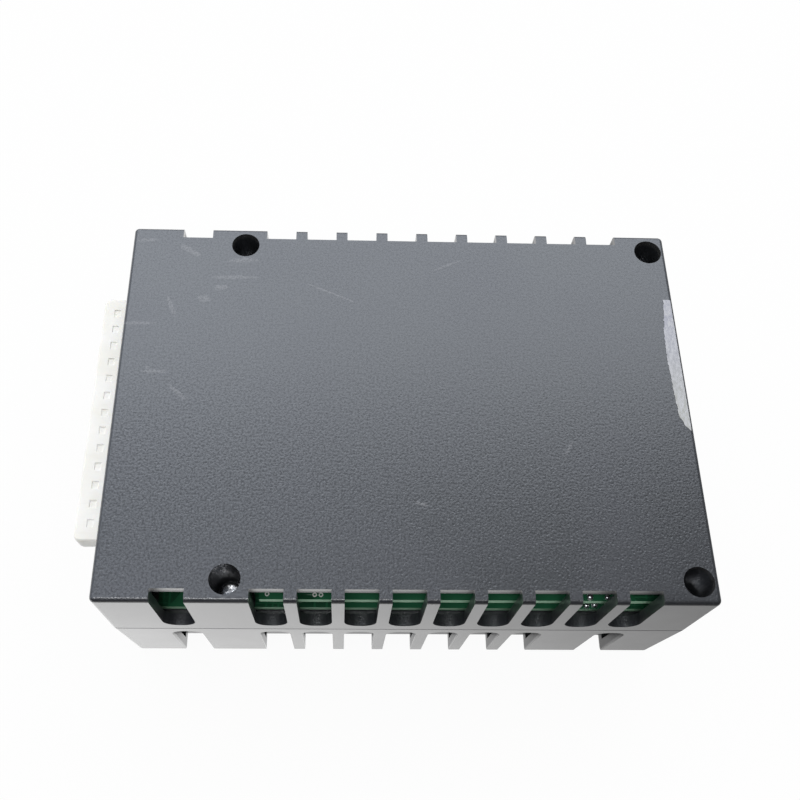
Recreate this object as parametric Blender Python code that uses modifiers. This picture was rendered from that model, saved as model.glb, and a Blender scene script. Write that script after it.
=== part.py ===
"""Stepper motor driver module: a vented two-part case around two stacked circuit boards.

Metres, +Z up. The origin is at the centre of the underside of the whole module. The header
comes out of the case towards -X, and the rows of vents are in the two long sides, -Y and +Y.
Places inside the case are measured from its left and front edges, as its top face has them.
"""

import math

import bmesh
import bpy
from mathutils import Matrix, Vector

# Case: the outline is that of the top face, and both halves widen towards the parting line.
CASE_LENGTH = 0.1060
CASE_DEPTH = 0.0765
UPPER_HEIGHT = 0.0176
LOWER_HEIGHT = 0.0204
DRAFT = 0.020
WALL = 0.0021
PLATE = 0.0021
CORNER_RADIUS = 0.0009
EDGE_RADIUS = 0.0008
PARTING_GAP = 0.0003
LIP_THICKNESS = 0.0008
LIP_RISE = 0.0015
LIP_FOOT = 0.0018
FIT = 0.0003

# Vents: one near the left end, a block that holds a screw, then a close row.
VENT_WIDTH = 0.0058
VENT_PITCH = 0.0080
FIRST_VENT_X = 0.0127
VENT_ROW_X = 0.0292
VENT_ROW_END = 0.0128
UPPER_VENT_CUT = 0.0002
LOWER_VENT_CUT = 0.0013
UPPER_VENT_SILL = 0.0024
LOWER_VENT_SILL = 0.0024
VENT_CORNER = 0.0025
VENT_CORNER_STEPS = 6
CLOSED_LOWER_VENT = 2

# Case screws, sunk in deep counterbored bosses
SCREW_LEFT_X = 0.0222
BOSS_RADIUS = 0.0034
BOSS_SIDE_MARGIN = 0.00055
BOSS_RIGHT_MARGIN = 0.0001
BOSS_RELIEF = 0.0002
COUNTERBORE_RADIUS = 0.0027
COUNTERBORE_FLOOR_RADIUS = 0.00245
COUNTERBORE_THROAT = 0.0030
COUNTERBORE_DEPTH = 0.0100
SCREW_RADIUS = 0.0011
SCREW_HEAD_RADIUS = 0.0021
SCREW_HEAD_HEIGHT = 0.0016
CASE_SCREW_LENGTH = 0.0180
RECESS_SPAN = 0.0024
RECESS_WIDTH = 0.0006
RECESS_DEPTH = 0.0009

# Boards, one above the other
BOARD_THICKNESS = 0.0016
BOARD_VENT_CLEARANCE = 0.0005
CONTROL_BOARD_DROP = 0.0084
CONTROL_BOARD_X = 0.0272
STACK_GAP = 0.0039
BOARD_BOSS_CLEARANCE = 0.0005

# Board mounts: posts of the lower half, spacers between the boards, and screws through both
POST_RADIUS = 0.0026
POST_LEFT_X = 0.0330
POST_RIGHT_INSET = 0.0120
POST_SIDE_INSET = 0.0095
SPACER_RADIUS = 0.0024
BOARD_SCREW_LENGTH = 0.0160

# Header: a hood over a row of pins, in a window of the left wall
CONTACTS = 13
CONTACT_PITCH = 0.00381
HEADER_END = 0.00345
HEADER_OFFSET_Y = 0.0021
HEADER_OUT = 0.0073
HOOD_DROP = 0.0103
HOOD_THICKNESS = 0.0034
HOOD_CORNER = 0.0012
HOOD_EDGE = 0.0003
HEADER_BLOCK_LENGTH = 0.0050
HEADER_BLOCK_DROP = 0.0094
PIN_SIZE = 0.0010
PIN_DROP = 0.0058
PIN_OUT = 0.0050
PIN_TAIL = 0.0020
PIN_ABOVE_BOARD = 0.0010
DIMPLE_X = -0.0045
DIMPLE_SIZE = (0.0012, 0.0015, 0.0002)

# Selector switch: a side-facing row of small sliders, in a window of the right wall
SWITCH_WAYS = 6
SWITCH_PITCH = 0.00254
SWITCH_END = 0.0020
SWITCH_DEPTH = 0.0064
SWITCH_HEIGHT = 0.0051
SLIDER_SIZE = 0.0012
SLIDER_TRAVEL = 0.0016
SLIDER_SUNK = 0.0012
SLIDER_PROUD = 0.0011

# Parts under the power board
CAPACITOR_RADIUS = 0.0080
CAPACITOR_X = 0.0300
CAPACITOR_SPACING = 0.0190
CAPACITOR_VENT_GAP = 0.0015
CAPACITOR_EDGE = 0.0006
GROOVE_DROP = 0.0025
GROOVE_HALF_WIDTH = 0.0006
GROOVE_DEPTH = 0.0006
CHIP_SIZE = (0.0200, 0.0140, 0.0026)
CHIP_X = 0.0680
PAD_THICKNESS = 0.0008
SINK_SIZE = (0.0420, 0.0340)
SINK_BASE = 0.0030
SINK_FINS = 7
SINK_FIN_THICKNESS = 0.0014
SINK_FLOOR_GAP = 0.0012
INDUCTOR_SIZE = (0.0120, 0.0120, 0.0080)
INDUCTOR_X = 0.0560
INDUCTOR_EDGE = 0.0010
REGULATOR_SIZE = (0.0100, 0.0090, 0.0045)
REGULATOR_X = 0.0760
FUSE_SIZE = (0.0100, 0.0030, 0.0030)
FUSE_X = 0.0180
BACK_ROW_INSET = 0.0125
SENSE_SIZE = (0.0064, 0.0032, 0.0008)
SENSE_X = 0.0540
SENSE_Y = 0.0120
SENSE_SPACING = 0.0100

# Parts between the boards and on the control board
LINK_SIZE = (0.0254, 0.0050)
LINK_PLACE = (0.0620, 0.0220)
CONTROLLER_SIZE = (0.0100, 0.0100, 0.0014)
CONTROLLER_PLACE = (0.0640, 0.0440)
CRYSTAL_SIZE = (0.0110, 0.0047, 0.0035)
CRYSTAL_PLACE = (0.0640, 0.0560)
CRYSTAL_EDGE = 0.0008
COUPLER_SIZE = (0.0065, 0.0046, 0.0035)
COUPLER_X = 0.0420
COUPLER_SPACING = 0.0090
COUPLERS = 3

MOULDED_EDGE = 0.0003
FINE_EDGE = 0.0001
ROUND_SIDES = 32
SMALL_SIDES = 16
OVERCUT = 0.0020

# Levels and places that follow from the sizes above
CASE_HEIGHT = UPPER_HEIGHT + LOWER_HEIGHT
UPPER_VENT_DEPTH = WALL + UPPER_VENT_CUT
LOWER_VENT_DEPTH = WALL + LOWER_VENT_CUT
CASE_SPREAD = DRAFT * UPPER_HEIGHT
CASE_X = (HEADER_OUT - CASE_SPREAD) / 2
TOP_HALF = Vector((CASE_LENGTH / 2, CASE_DEPTH / 2))
PARTING_HALF = TOP_HALF + Vector((CASE_SPREAD, CASE_SPREAD))
CEILING_Z = CASE_HEIGHT - PLATE
CONTROL_TOP_Z = CASE_HEIGHT - CONTROL_BOARD_DROP
CONTROL_BOTTOM_Z = CONTROL_TOP_Z - BOARD_THICKNESS
POWER_TOP_Z = CONTROL_BOTTOM_Z - STACK_GAP
POWER_BOTTOM_Z = POWER_TOP_Z - BOARD_THICKNESS
HEADER_BLOCK_X = WALL + FIT + LIP_THICKNESS
POWER_BOARD_X = HEADER_BLOCK_X + HEADER_BLOCK_LENGTH + FIT
BOARD_EDGE_INSET = UPPER_VENT_DEPTH + BOARD_VENT_CLEARANCE
BOARD_RIGHT_X = CASE_LENGTH - BOARD_EDGE_INSET
BOARD_BACK_Y = CASE_DEPTH - BOARD_EDGE_INSET
COUNTERBORE_Z = CASE_HEIGHT - COUNTERBORE_DEPTH
SCREW_SIDE_INSET = BOSS_RADIUS + BOSS_SIDE_MARGIN
SCREW_RIGHT_INSET = BOSS_RADIUS + BOSS_RIGHT_MARGIN
HEADER_Y = CASE_DEPTH / 2 + HEADER_OFFSET_Y
HEADER_HALF = (CONTACTS - 1) * CONTACT_PITCH / 2 + HEADER_END
HOOD_TOP_Z = CASE_HEIGHT - HOOD_DROP
HOOD_BOTTOM_Z = HOOD_TOP_Z - HOOD_THICKNESS
HEADER_BLOCK_BOTTOM_Z = HOOD_BOTTOM_Z - HEADER_BLOCK_DROP
PIN_Z = HOOD_BOTTOM_Z - PIN_DROP
SWITCH_HALF = (SWITCH_WAYS - 1) * SWITCH_PITCH / 2 + SWITCH_END
SWITCH_FACE_X = CASE_LENGTH - WALL - FIT
SWITCH_BOTTOM_Z = CONTROL_TOP_Z + FIT
SWITCH_TOP_Z = SWITCH_BOTTOM_Z + SWITCH_HEIGHT


def from_left(x):
    return CASE_X - CASE_LENGTH / 2 + x


def from_front(y):
    return y - CASE_DEPTH / 2


def case_place(x, y):
    return from_left(x), from_front(y)


def outline_half(z):
    """Half length and half depth of the drafted outer faces at a height."""
    return PARTING_HALF - Vector((1, 1)) * DRAFT * abs(z - LOWER_HEIGHT)


# Scene helpers ------------------------------------------------------------------------------

def clear_scene():
    for obj in list(bpy.data.objects):
        bpy.data.objects.remove(obj, do_unlink=True)


def add_collection(name, hidden=False):
    collection = bpy.data.collections.new(name)
    bpy.context.scene.collection.children.link(collection)
    collection.hide_render = hidden
    return collection


clear_scene()
PARTS = add_collection("stepper_driver_module")
CUTTERS = add_collection("cutters", hidden=True)


def add_material(name, colour, roughness, metallic=0.0):
    material = bpy.data.materials.new(name)
    material.use_nodes = True
    shader = material.node_tree.nodes["Principled BSDF"]
    shader.inputs["Base Color"].default_value = (*colour, 1.0)
    shader.inputs["Roughness"].default_value = roughness
    shader.inputs["Metallic"].default_value = metallic
    return material


BLACK_CASE = add_material("black_case", (0.035, 0.036, 0.039), 0.42)
WHITE_NYLON = add_material("white_nylon", (0.86, 0.85, 0.80), 0.50)
GREEN_BOARD = add_material("green_board", (0.03, 0.15, 0.07), 0.40)
TIN = add_material("tinned_contact", (0.78, 0.78, 0.76), 0.30, 1.0)
ZINC = add_material("zinc_screw", (0.70, 0.71, 0.72), 0.30, 1.0)
BRASS = add_material("brass_spacer", (0.72, 0.56, 0.28), 0.35, 1.0)
ALUMINIUM = add_material("aluminium", (0.75, 0.76, 0.78), 0.38, 1.0)
BLACK_RESIN = add_material("black_resin", (0.02, 0.02, 0.02), 0.55)
CAPACITOR_SLEEVE = add_material("capacitor_sleeve", (0.03, 0.03, 0.05), 0.35)
GREY_PAD = add_material("thermal_pad", (0.45, 0.50, 0.55), 0.80)
FERRITE = add_material("ferrite", (0.10, 0.10, 0.11), 0.60)
SWITCH_BLUE = add_material("switch_body", (0.02, 0.10, 0.35), 0.45)
SLIDER_WHITE = add_material("switch_slider", (0.85, 0.85, 0.83), 0.45)
FUSE_BODY = add_material("fuse_body", (0.80, 0.78, 0.70), 0.50)


def finish_object(obj, material, collection):
    collection.objects.link(obj)
    if material:
        obj.data.materials.append(material)
    if collection is CUTTERS:
        obj.hide_render = True
        obj.display_type = "WIRE"
    return obj


def mesh_object(name, bm, material=None, collection=PARTS, location=(0, 0, 0), smooth=False):
    mesh = bpy.data.meshes.new(name)
    bm.to_mesh(mesh)
    bm.free()
    if smooth:
        mesh.shade_smooth()
        mesh.set_sharp_from_angle(angle=math.radians(35))
    obj = finish_object(bpy.data.objects.new(name, mesh), material, collection)
    obj.location = location
    return obj


def combine(target, tool, operation="DIFFERENCE"):
    modifier = target.modifiers.new(f"{operation.lower()}_{tool.name}", "BOOLEAN")
    modifier.operation = operation
    modifier.solver = "EXACT"
    modifier.object = tool


# Mesh helpers -------------------------------------------------------------------------------

def add_box(bm, low, high):
    low, high = Vector(low), Vector(high)
    place = Matrix.Translation((low + high) / 2) @ Matrix.Diagonal((*(high - low), 1))
    return bmesh.ops.create_cube(bm, size=1, matrix=place)["verts"]


def add_cylinder(bm, x, y, z_low, z_high, radius, radius_high=None, sides=ROUND_SIDES):
    bmesh.ops.create_cone(
        bm,
        cap_ends=True,
        segments=sides,
        radius1=radius,
        radius2=radius if radius_high is None else radius_high,
        depth=z_high - z_low,
        matrix=Matrix.Translation((x, y, (z_low + z_high) / 2)),
    )


def edges_along(bm, axis, verts=None):
    """Edges that run mainly along one axis, among these vertices or all."""
    chosen = set(verts or bm.verts)
    found = []
    for edge in bm.edges:
        span = edge.verts[1].co - edge.verts[0].co
        others = [abs(span[other]) for other in range(3) if other != axis]
        if chosen.issuperset(edge.verts) and abs(span[axis]) > 4 * max(others):
            found.append(edge)
    return found


def round_edges(bm, edges, radius, segments):
    bmesh.ops.bevel(bm, geom=edges, offset=radius, segments=segments, profile=0.5, affect="EDGES")


def face_towards(bm, axis, faces=None):
    """The face that looks most nearly along the positive axis."""
    bm.normal_update()
    return max(faces or bm.faces, key=lambda face: face.normal[axis])


def extrude_face(bm, face, shift):
    grown = bmesh.ops.extrude_face_region(bm, geom=[face])["geom"]
    verts = [item for item in grown if isinstance(item, bmesh.types.BMVert)]
    bmesh.ops.translate(bm, vec=shift, verts=verts)
    bmesh.ops.delete(bm, geom=[face], context="FACES_ONLY")


def box_object(name, low, high, material, edge=0.0):
    low, high = Vector(low), Vector(high)
    centre = (low + high) / 2
    bm = bmesh.new()
    add_box(bm, low - centre, high - centre)
    if edge:
        round_edges(bm, list(bm.edges), edge, 1)
    return mesh_object(name, bm, material, location=centre)


def block_object(name, place, size, z_low, material, edge=0.0):
    """A block of this size, centred on a place in the case's plan, standing on a level."""
    x, y = case_place(*place)
    low = (x - size[0] / 2, y - size[1] / 2, z_low)
    high = (x + size[0] / 2, y + size[1] / 2, z_low + size[2])
    return box_object(name, low, high, material, edge)


def cutter(name, fill):
    """A hidden tool: fill is a function that adds its closed bodies to a mesh."""
    bm = bmesh.new()
    fill(bm)
    return mesh_object(name, bm, collection=CUTTERS)


def turned_object(name, profile, material, location, closed=False, sides=ROUND_SIDES):
    """A profile of (radius, height) points, top to bottom on its outer side, turned about Z."""
    mesh = bpy.data.meshes.new(name)
    bm = bmesh.new()
    points = [bm.verts.new((radius, 0, height)) for radius, height in profile]
    for first, second in zip(points, points[1:]):
        bm.edges.new((first, second))
    if closed:
        bm.edges.new((points[-1], points[0]))
    bm.to_mesh(mesh)
    bm.free()
    obj = finish_object(bpy.data.objects.new(name, mesh), material, PARTS)
    obj.location = location
    screw = obj.modifiers.new("turn", "SCREW")
    screw.axis = "Z"
    screw.steps = sides
    screw.render_steps = sides
    screw.use_merge_vertices = True
    screw.merge_threshold = 0.00001
    screw.use_smooth_shade = True
    return obj


# Case ---------------------------------------------------------------------------------------

def tapered_box(bm, z_low, z_high, inset):
    """A box that follows the drafted outer faces, this far inside them."""
    verts = add_box(bm, (-1, -1, z_low), (1, 1, z_high))
    for vert in verts:
        half = outline_half(vert.co.z) - Vector((inset, inset))
        vert.co.x = CASE_X + math.copysign(half.x, vert.co.x)
        vert.co.y = math.copysign(half.y, vert.co.y)
    return verts


def straight_box(bm, z_low, z_high, inset):
    """A box with upright sides, this far inside the outline at the parting line."""
    half = PARTING_HALF - Vector((inset, inset))
    add_box(bm, (CASE_X - half.x, -half.y, z_low), (CASE_X + half.x, half.y, z_high))


def case_half(name, z_low, z_high, face_z):
    """The outside of one half, with round corners and a round edge about its flat face."""
    bm = bmesh.new()
    tapered_box(bm, z_low, z_high, 0)
    round_edges(bm, edges_along(bm, 2), CORNER_RADIUS, 4)
    rim = [edge for edge in bm.edges if all(abs(vert.co.z - face_z) < 1e-6 for vert in edge.verts)]
    round_edges(bm, rim, EDGE_RADIUS, 3)
    return mesh_object(name, bm, BLACK_CASE, smooth=True)


def vent_centres():
    row_span = CASE_LENGTH - VENT_ROW_X - VENT_ROW_END
    row_count = int(row_span / VENT_PITCH + 1e-6) + 1
    return [FIRST_VENT_X] + [VENT_ROW_X + VENT_PITCH * index for index in range(row_count)]


def vent_row(bm, centres, depth, sill_z, open_z):
    """Slots in both long sides, from an end with round corners out through the flat face."""
    for side in (-1, 1):
        inner = side * (CASE_DEPTH / 2 - depth)
        outer = side * (PARTING_HALF.y + OVERCUT)
        for centre in centres:
            x = from_left(centre)
            low = (x - VENT_WIDTH / 2, min(inner, outer), min(sill_z, open_z))
            high = (x + VENT_WIDTH / 2, max(inner, outer), max(sill_z, open_z))
            verts = add_box(bm, low, high)
            ends = [vert for vert in verts if abs(vert.co.z - sill_z) < 1e-6]
            round_edges(bm, edges_along(bm, 1, ends), VENT_CORNER, VENT_CORNER_STEPS)


def case_screw_places():
    right = CASE_LENGTH - SCREW_RIGHT_INSET
    back = CASE_DEPTH - SCREW_SIDE_INSET
    return [case_place(x, y) for x in (SCREW_LEFT_X, right) for y in (SCREW_SIDE_INSET, back)]


def post_places():
    right = CASE_LENGTH - POST_RIGHT_INSET
    back = CASE_DEPTH - POST_SIDE_INSET
    return [case_place(x, y) for x in (POST_LEFT_X, right) for y in (POST_SIDE_INSET, back)]


def pillars(bm, places, z_low, z_high, radius, radius_high=None, sides=ROUND_SIDES):
    for x, y in places:
        add_cylinder(bm, x, y, z_low, z_high, radius, radius_high, sides)


def header_window(bm):
    low = (from_left(-OVERCUT), from_front(HEADER_Y - HEADER_HALF - FIT), HEADER_BLOCK_BOTTOM_Z - FIT)
    high = (from_left(WALL + OVERCUT), from_front(HEADER_Y + HEADER_HALF + FIT), HOOD_TOP_Z + FIT)
    add_box(bm, low, high)


def switch_window(bm):
    low = (from_left(CASE_LENGTH - WALL - OVERCUT), -SWITCH_HALF - FIT, SWITCH_BOTTOM_Z - FIT)
    high = (from_left(CASE_LENGTH + OVERCUT), SWITCH_HALF + FIT, SWITCH_TOP_Z + FIT)
    add_box(bm, low, high)


HEADER_WINDOW = cutter("header_window", header_window)


def build_upper_shell():
    rim_z = LOWER_HEIGHT + PARTING_GAP / 2
    shell = case_half("upper_shell", rim_z, CASE_HEIGHT, CASE_HEIGHT)
    places = case_screw_places()
    throat_z = CASE_HEIGHT - COUNTERBORE_THROAT
    boss_top = CEILING_Z + PLATE / 2
    top = CASE_HEIGHT + OVERCUT
    sill = LOWER_HEIGHT + UPPER_VENT_SILL
    hole = SCREW_RADIUS + FIT
    floor, mouth = COUNTERBORE_FLOOR_RADIUS, COUNTERBORE_RADIUS
    cavity = cutter("upper_cavity", lambda bm: tapered_box(bm, rim_z - OVERCUT, CEILING_Z, WALL))
    bosses = cutter(
        "upper_bosses", lambda bm: pillars(bm, places, rim_z + BOSS_RELIEF, boss_top, BOSS_RADIUS)
    )
    wells = cutter("screw_wells", lambda bm: pillars(bm, places, COUNTERBORE_Z, throat_z, floor, mouth))
    throats = cutter("well_throats", lambda bm: pillars(bm, places, throat_z, top, mouth))
    holes = cutter("upper_screw_holes", lambda bm: pillars(bm, places, rim_z - OVERCUT, top, hole))
    vents = cutter(
        "upper_vents", lambda bm: vent_row(bm, vent_centres(), UPPER_VENT_DEPTH, sill, top)
    )
    combine(shell, cavity)
    combine(shell, bosses, "UNION")
    for tool in (wells, throats, holes, vents, HEADER_WINDOW, cutter("switch_window", switch_window)):
        combine(shell, tool)


def build_lower_shell():
    rim_z = LOWER_HEIGHT - PARTING_GAP / 2
    lip_foot_z = rim_z - LIP_FOOT
    lip_inset = WALL + FIT
    lip_top = LOWER_HEIGHT + LIP_RISE
    inside = lip_inset + LIP_THICKNESS
    shell = case_half("lower_shell", 0, rim_z, 0)
    places = case_screw_places()
    centres = vent_centres()
    del centres[-CLOSED_LOWER_VENT]
    hole = SCREW_RADIUS + FIT
    screw_end = COUNTERBORE_Z - CASE_SCREW_LENGTH
    board_screw_end = CONTROL_TOP_Z - BOARD_SCREW_LENGTH
    clear_boss = BOSS_RADIUS + FIT
    lip = cutter("lip", lambda bm: straight_box(bm, lip_foot_z, lip_top, lip_inset))
    cavity = cutter("lower_cavity", lambda bm: tapered_box(bm, PLATE, lip_foot_z, WALL))
    mouth = cutter("lower_mouth", lambda bm: straight_box(bm, PLATE + WALL, lip_top + OVERCUT, inside))
    bosses = cutter(
        "lower_bosses", lambda bm: pillars(bm, places, PLATE / 2, rim_z - BOSS_RELIEF, BOSS_RADIUS)
    )
    posts = cutter(
        "board_posts", lambda bm: pillars(bm, post_places(), PLATE / 2, POWER_BOTTOM_Z - FIT, POST_RADIUS)
    )
    boss_room = cutter(
        "boss_room", lambda bm: pillars(bm, places, rim_z, lip_top + OVERCUT, clear_boss)
    )
    pilots = cutter(
        "case_screw_pilots", lambda bm: pillars(bm, places, screw_end, CASE_HEIGHT, hole, sides=SMALL_SIDES)
    )
    post_pilots = cutter(
        "board_screw_pilots",
        lambda bm: pillars(bm, post_places(), board_screw_end, CASE_HEIGHT, hole, sides=SMALL_SIDES),
    )
    vents = cutter(
        "lower_vents",
        lambda bm: vent_row(bm, centres, LOWER_VENT_DEPTH, LOWER_HEIGHT - LOWER_VENT_SILL, -OVERCUT),
    )
    combine(shell, lip, "UNION")
    combine(shell, cavity)
    combine(shell, mouth)
    combine(shell, bosses, "UNION")
    combine(shell, posts, "UNION")
    for tool in (boss_room, pilots, post_pilots, vents, HEADER_WINDOW):
        combine(shell, tool)


# Screws and spacers -------------------------------------------------------------------------

def add_screw(name, x, y, seat_z, length):
    """A pan-head cross-recess screw whose head stands just above its seat."""
    edge = SCREW_HEAD_HEIGHT / 2
    shoulder = SCREW_HEAD_RADIUS - edge
    dome = [
        (shoulder + edge * math.sin(angle), SCREW_HEAD_HEIGHT - edge + edge * math.cos(angle))
        for angle in (math.radians(30 * step) for step in range(4))
    ]
    profile = [
        (0, SCREW_HEAD_HEIGHT),
        *dome,
        (SCREW_HEAD_RADIUS, 0),
        (SCREW_RADIUS, 0),
        (SCREW_RADIUS, SCREW_RADIUS - length),
        (0, -length),
    ]
    seat = seat_z + FIT
    screw = turned_object(name, profile, ZINC, (x, y, seat), sides=SMALL_SIDES)
    for part, span in (("long", (RECESS_SPAN, RECESS_WIDTH)), ("cross", (RECESS_WIDTH, RECESS_SPAN))):
        low = (x - span[0] / 2, y - span[1] / 2, seat + SCREW_HEAD_HEIGHT - RECESS_DEPTH)
        high = (x + span[0] / 2, y + span[1] / 2, seat + SCREW_HEAD_HEIGHT + OVERCUT)
        combine(screw, cutter(f"{name}_{part}", lambda bm: add_box(bm, low, high)))


def build_screws():
    for index, (x, y) in enumerate(case_screw_places(), start=1):
        add_screw(f"case_screw_{index}", x, y, COUNTERBORE_Z, CASE_SCREW_LENGTH - 2 * FIT)
    for index, (x, y) in enumerate(post_places(), start=1):
        add_screw(f"board_screw_{index}", x, y, CONTROL_TOP_Z, BOARD_SCREW_LENGTH - 2 * FIT)


def build_spacers():
    bore = SCREW_RADIUS + FIT
    height = STACK_GAP - 2 * FIT
    profile = [(bore, height), (SPACER_RADIUS, height), (SPACER_RADIUS, 0), (bore, 0)]
    for index, (x, y) in enumerate(post_places(), start=1):
        place = (x, y, POWER_TOP_Z + FIT)
        turned_object(f"spacer_{index}", profile, BRASS, place, closed=True, sides=SMALL_SIDES)


# Header -------------------------------------------------------------------------------------

def contact_centres():
    first = from_front(HEADER_Y) - (CONTACTS - 1) * CONTACT_PITCH / 2
    return [first + CONTACT_PITCH * index for index in range(CONTACTS)]


PIN_BEND_X = from_left(POWER_BOARD_X) + PIN_TAIL


def pin_holes(bm):
    """Square ways for the pins, through the header's block and up through the power board."""
    half = PIN_SIZE / 2 + FIT
    for y in contact_centres():
        block_low = (from_left(HEADER_BLOCK_X) - FIT, y - half, PIN_Z - half)
        block_high = (from_left(POWER_BOARD_X) + FIT, y + half, PIN_Z + half)
        add_box(bm, block_low, block_high)
        board_low = (PIN_BEND_X - half, y - half, POWER_BOTTOM_Z - FIT)
        add_box(bm, board_low, (PIN_BEND_X + half, y + half, POWER_TOP_Z + FIT))


PIN_HOLES = cutter("pin_holes", pin_holes)


def dimples(bm):
    x = from_left(DIMPLE_X)
    length, width, depth = DIMPLE_SIZE
    for y in contact_centres():
        low = (x - length / 2, y - width / 2, HOOD_TOP_Z - depth)
        add_box(bm, low, (x + length / 2, y + width / 2, HOOD_TOP_Z + OVERCUT))


def build_header():
    middle = from_front(HEADER_Y)
    back = from_left(POWER_BOARD_X) - FIT
    front = from_left(0) - HEADER_OUT
    bm = bmesh.new()
    low = (front, middle - HEADER_HALF, HOOD_BOTTOM_Z)
    verts = add_box(bm, low, (back, middle + HEADER_HALF, HOOD_TOP_Z))
    outer = [vert for vert in verts if abs(vert.co.x - front) < 1e-6]
    round_edges(bm, edges_along(bm, 2, outer), HOOD_CORNER, 3)
    top = [edge for edge in bm.edges if all(abs(vert.co.z - HOOD_TOP_Z) < 1e-6 for vert in edge.verts)]
    round_edges(bm, top, HOOD_EDGE, 1)
    housing = mesh_object("header_housing", bm, WHITE_NYLON)
    block_low = (from_left(HEADER_BLOCK_X), middle - HEADER_HALF, HEADER_BLOCK_BOTTOM_Z)
    block_high = (back, middle + HEADER_HALF, HOOD_BOTTOM_Z + HOOD_THICKNESS / 2)
    combine(housing, cutter("header_block", lambda bm: add_box(bm, block_low, block_high)), "UNION")
    combine(housing, PIN_HOLES)
    combine(housing, cutter("header_dimples", dimples))


def build_pins():
    """Square wires: out under the hood at one end, up through the board at the other."""
    start = from_left(-PIN_OUT)
    half = PIN_SIZE / 2
    top = POWER_TOP_Z + PIN_ABOVE_BOARD
    for index, y in enumerate(contact_centres(), start=1):
        bm = bmesh.new()
        add_box(bm, (start, -half, -half), (PIN_BEND_X - half, half, half))
        extrude_face(bm, face_towards(bm, 0), (PIN_SIZE, 0, 0))
        bend = [face for face in bm.faces if face.calc_center_median().x > PIN_BEND_X - half]
        extrude_face(bm, face_towards(bm, 2, bend), (0, 0, top - PIN_Z - half))
        mesh_object(f"header_pin_{index:02d}", bm, TIN, location=(0, y, PIN_Z))


# Boards -------------------------------------------------------------------------------------

def board(name, left_x, top_z, holes):
    low = (*case_place(left_x, BOARD_EDGE_INSET), top_z - BOARD_THICKNESS)
    high = (*case_place(BOARD_RIGHT_X, BOARD_BACK_Y), top_z)
    plate = box_object(name, low, high, GREEN_BOARD)
    for tool in holes:
        combine(plate, tool)


def build_boards():
    clear_boss = BOSS_RADIUS + BOARD_BOSS_CLEARANCE
    low, high = POWER_BOTTOM_Z - OVERCUT, CONTROL_TOP_Z + OVERCUT
    hole = SCREW_RADIUS + FIT
    notches = cutter("boss_notches", lambda bm: pillars(bm, case_screw_places(), low, high, clear_boss))
    screw_holes = cutter(
        "board_screw_holes", lambda bm: pillars(bm, post_places(), low, high, hole, sides=SMALL_SIDES)
    )
    board("control_board", CONTROL_BOARD_X, CONTROL_TOP_Z, (notches, screw_holes))
    board("power_board", POWER_BOARD_X, POWER_TOP_Z, (notches, screw_holes, PIN_HOLES))


# Components ---------------------------------------------------------------------------------

def build_capacitors():
    """Cans that hang from the power board, with a crimped groove near their base."""
    height = POWER_BOTTOM_Z - FIT - PLATE - CAPACITOR_VENT_GAP
    groove_z = height - GROOVE_DROP
    profile = [
        (0, height),
        (CAPACITOR_RADIUS - CAPACITOR_EDGE, height),
        (CAPACITOR_RADIUS, height - CAPACITOR_EDGE),
        (CAPACITOR_RADIUS, groove_z + GROOVE_HALF_WIDTH),
        (CAPACITOR_RADIUS - GROOVE_DEPTH, groove_z),
        (CAPACITOR_RADIUS, groove_z - GROOVE_HALF_WIDTH),
        (CAPACITOR_RADIUS, CAPACITOR_EDGE),
        (CAPACITOR_RADIUS - CAPACITOR_EDGE, 0),
        (0, 0),
    ]
    for index, side in enumerate((-1, 1), start=1):
        x, y = case_place(CAPACITOR_X, CASE_DEPTH / 2 + side * CAPACITOR_SPACING / 2)
        place = (x, y, PLATE + CAPACITOR_VENT_GAP)
        turned_object(f"bulk_capacitor_{index}", profile, CAPACITOR_SLEEVE, place)


def build_driver_and_sink():
    middle = (CHIP_X, CASE_DEPTH / 2)
    chip_z = POWER_BOTTOM_Z - FIT - CHIP_SIZE[2]
    pad_z = chip_z - FIT - PAD_THICKNESS
    base_z = pad_z - FIT - SINK_BASE
    block_object("motor_driver_chip", middle, CHIP_SIZE, chip_z, BLACK_RESIN, MOULDED_EDGE)
    block_object("thermal_pad", middle, (*CHIP_SIZE[:2], PAD_THICKNESS), pad_z, GREY_PAD)
    sink = block_object("heat_sink", middle, (*SINK_SIZE, SINK_BASE), base_z, ALUMINIUM)
    x, y = case_place(*middle)
    step = (SINK_SIZE[1] - SINK_FIN_THICKNESS) / (SINK_FINS - 1)

    def fins(bm):
        for index in range(SINK_FINS):
            fin_y = y - SINK_SIZE[1] / 2 + index * step
            low = (x - SINK_SIZE[0] / 2, fin_y, PLATE + SINK_FLOOR_GAP)
            add_box(bm, low, (x + SINK_SIZE[0] / 2, fin_y + SINK_FIN_THICKNESS, base_z + SINK_BASE / 2))

    combine(sink, cutter("sink_fins", fins), "UNION")


def hang_block(name, place, size, material, edge):
    block_object(name, place, size, POWER_BOTTOM_Z - FIT - size[2], material, edge)


def stand_block(name, place, size, material, edge):
    block_object(name, place, size, CONTROL_TOP_Z + FIT, material, edge)


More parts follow.
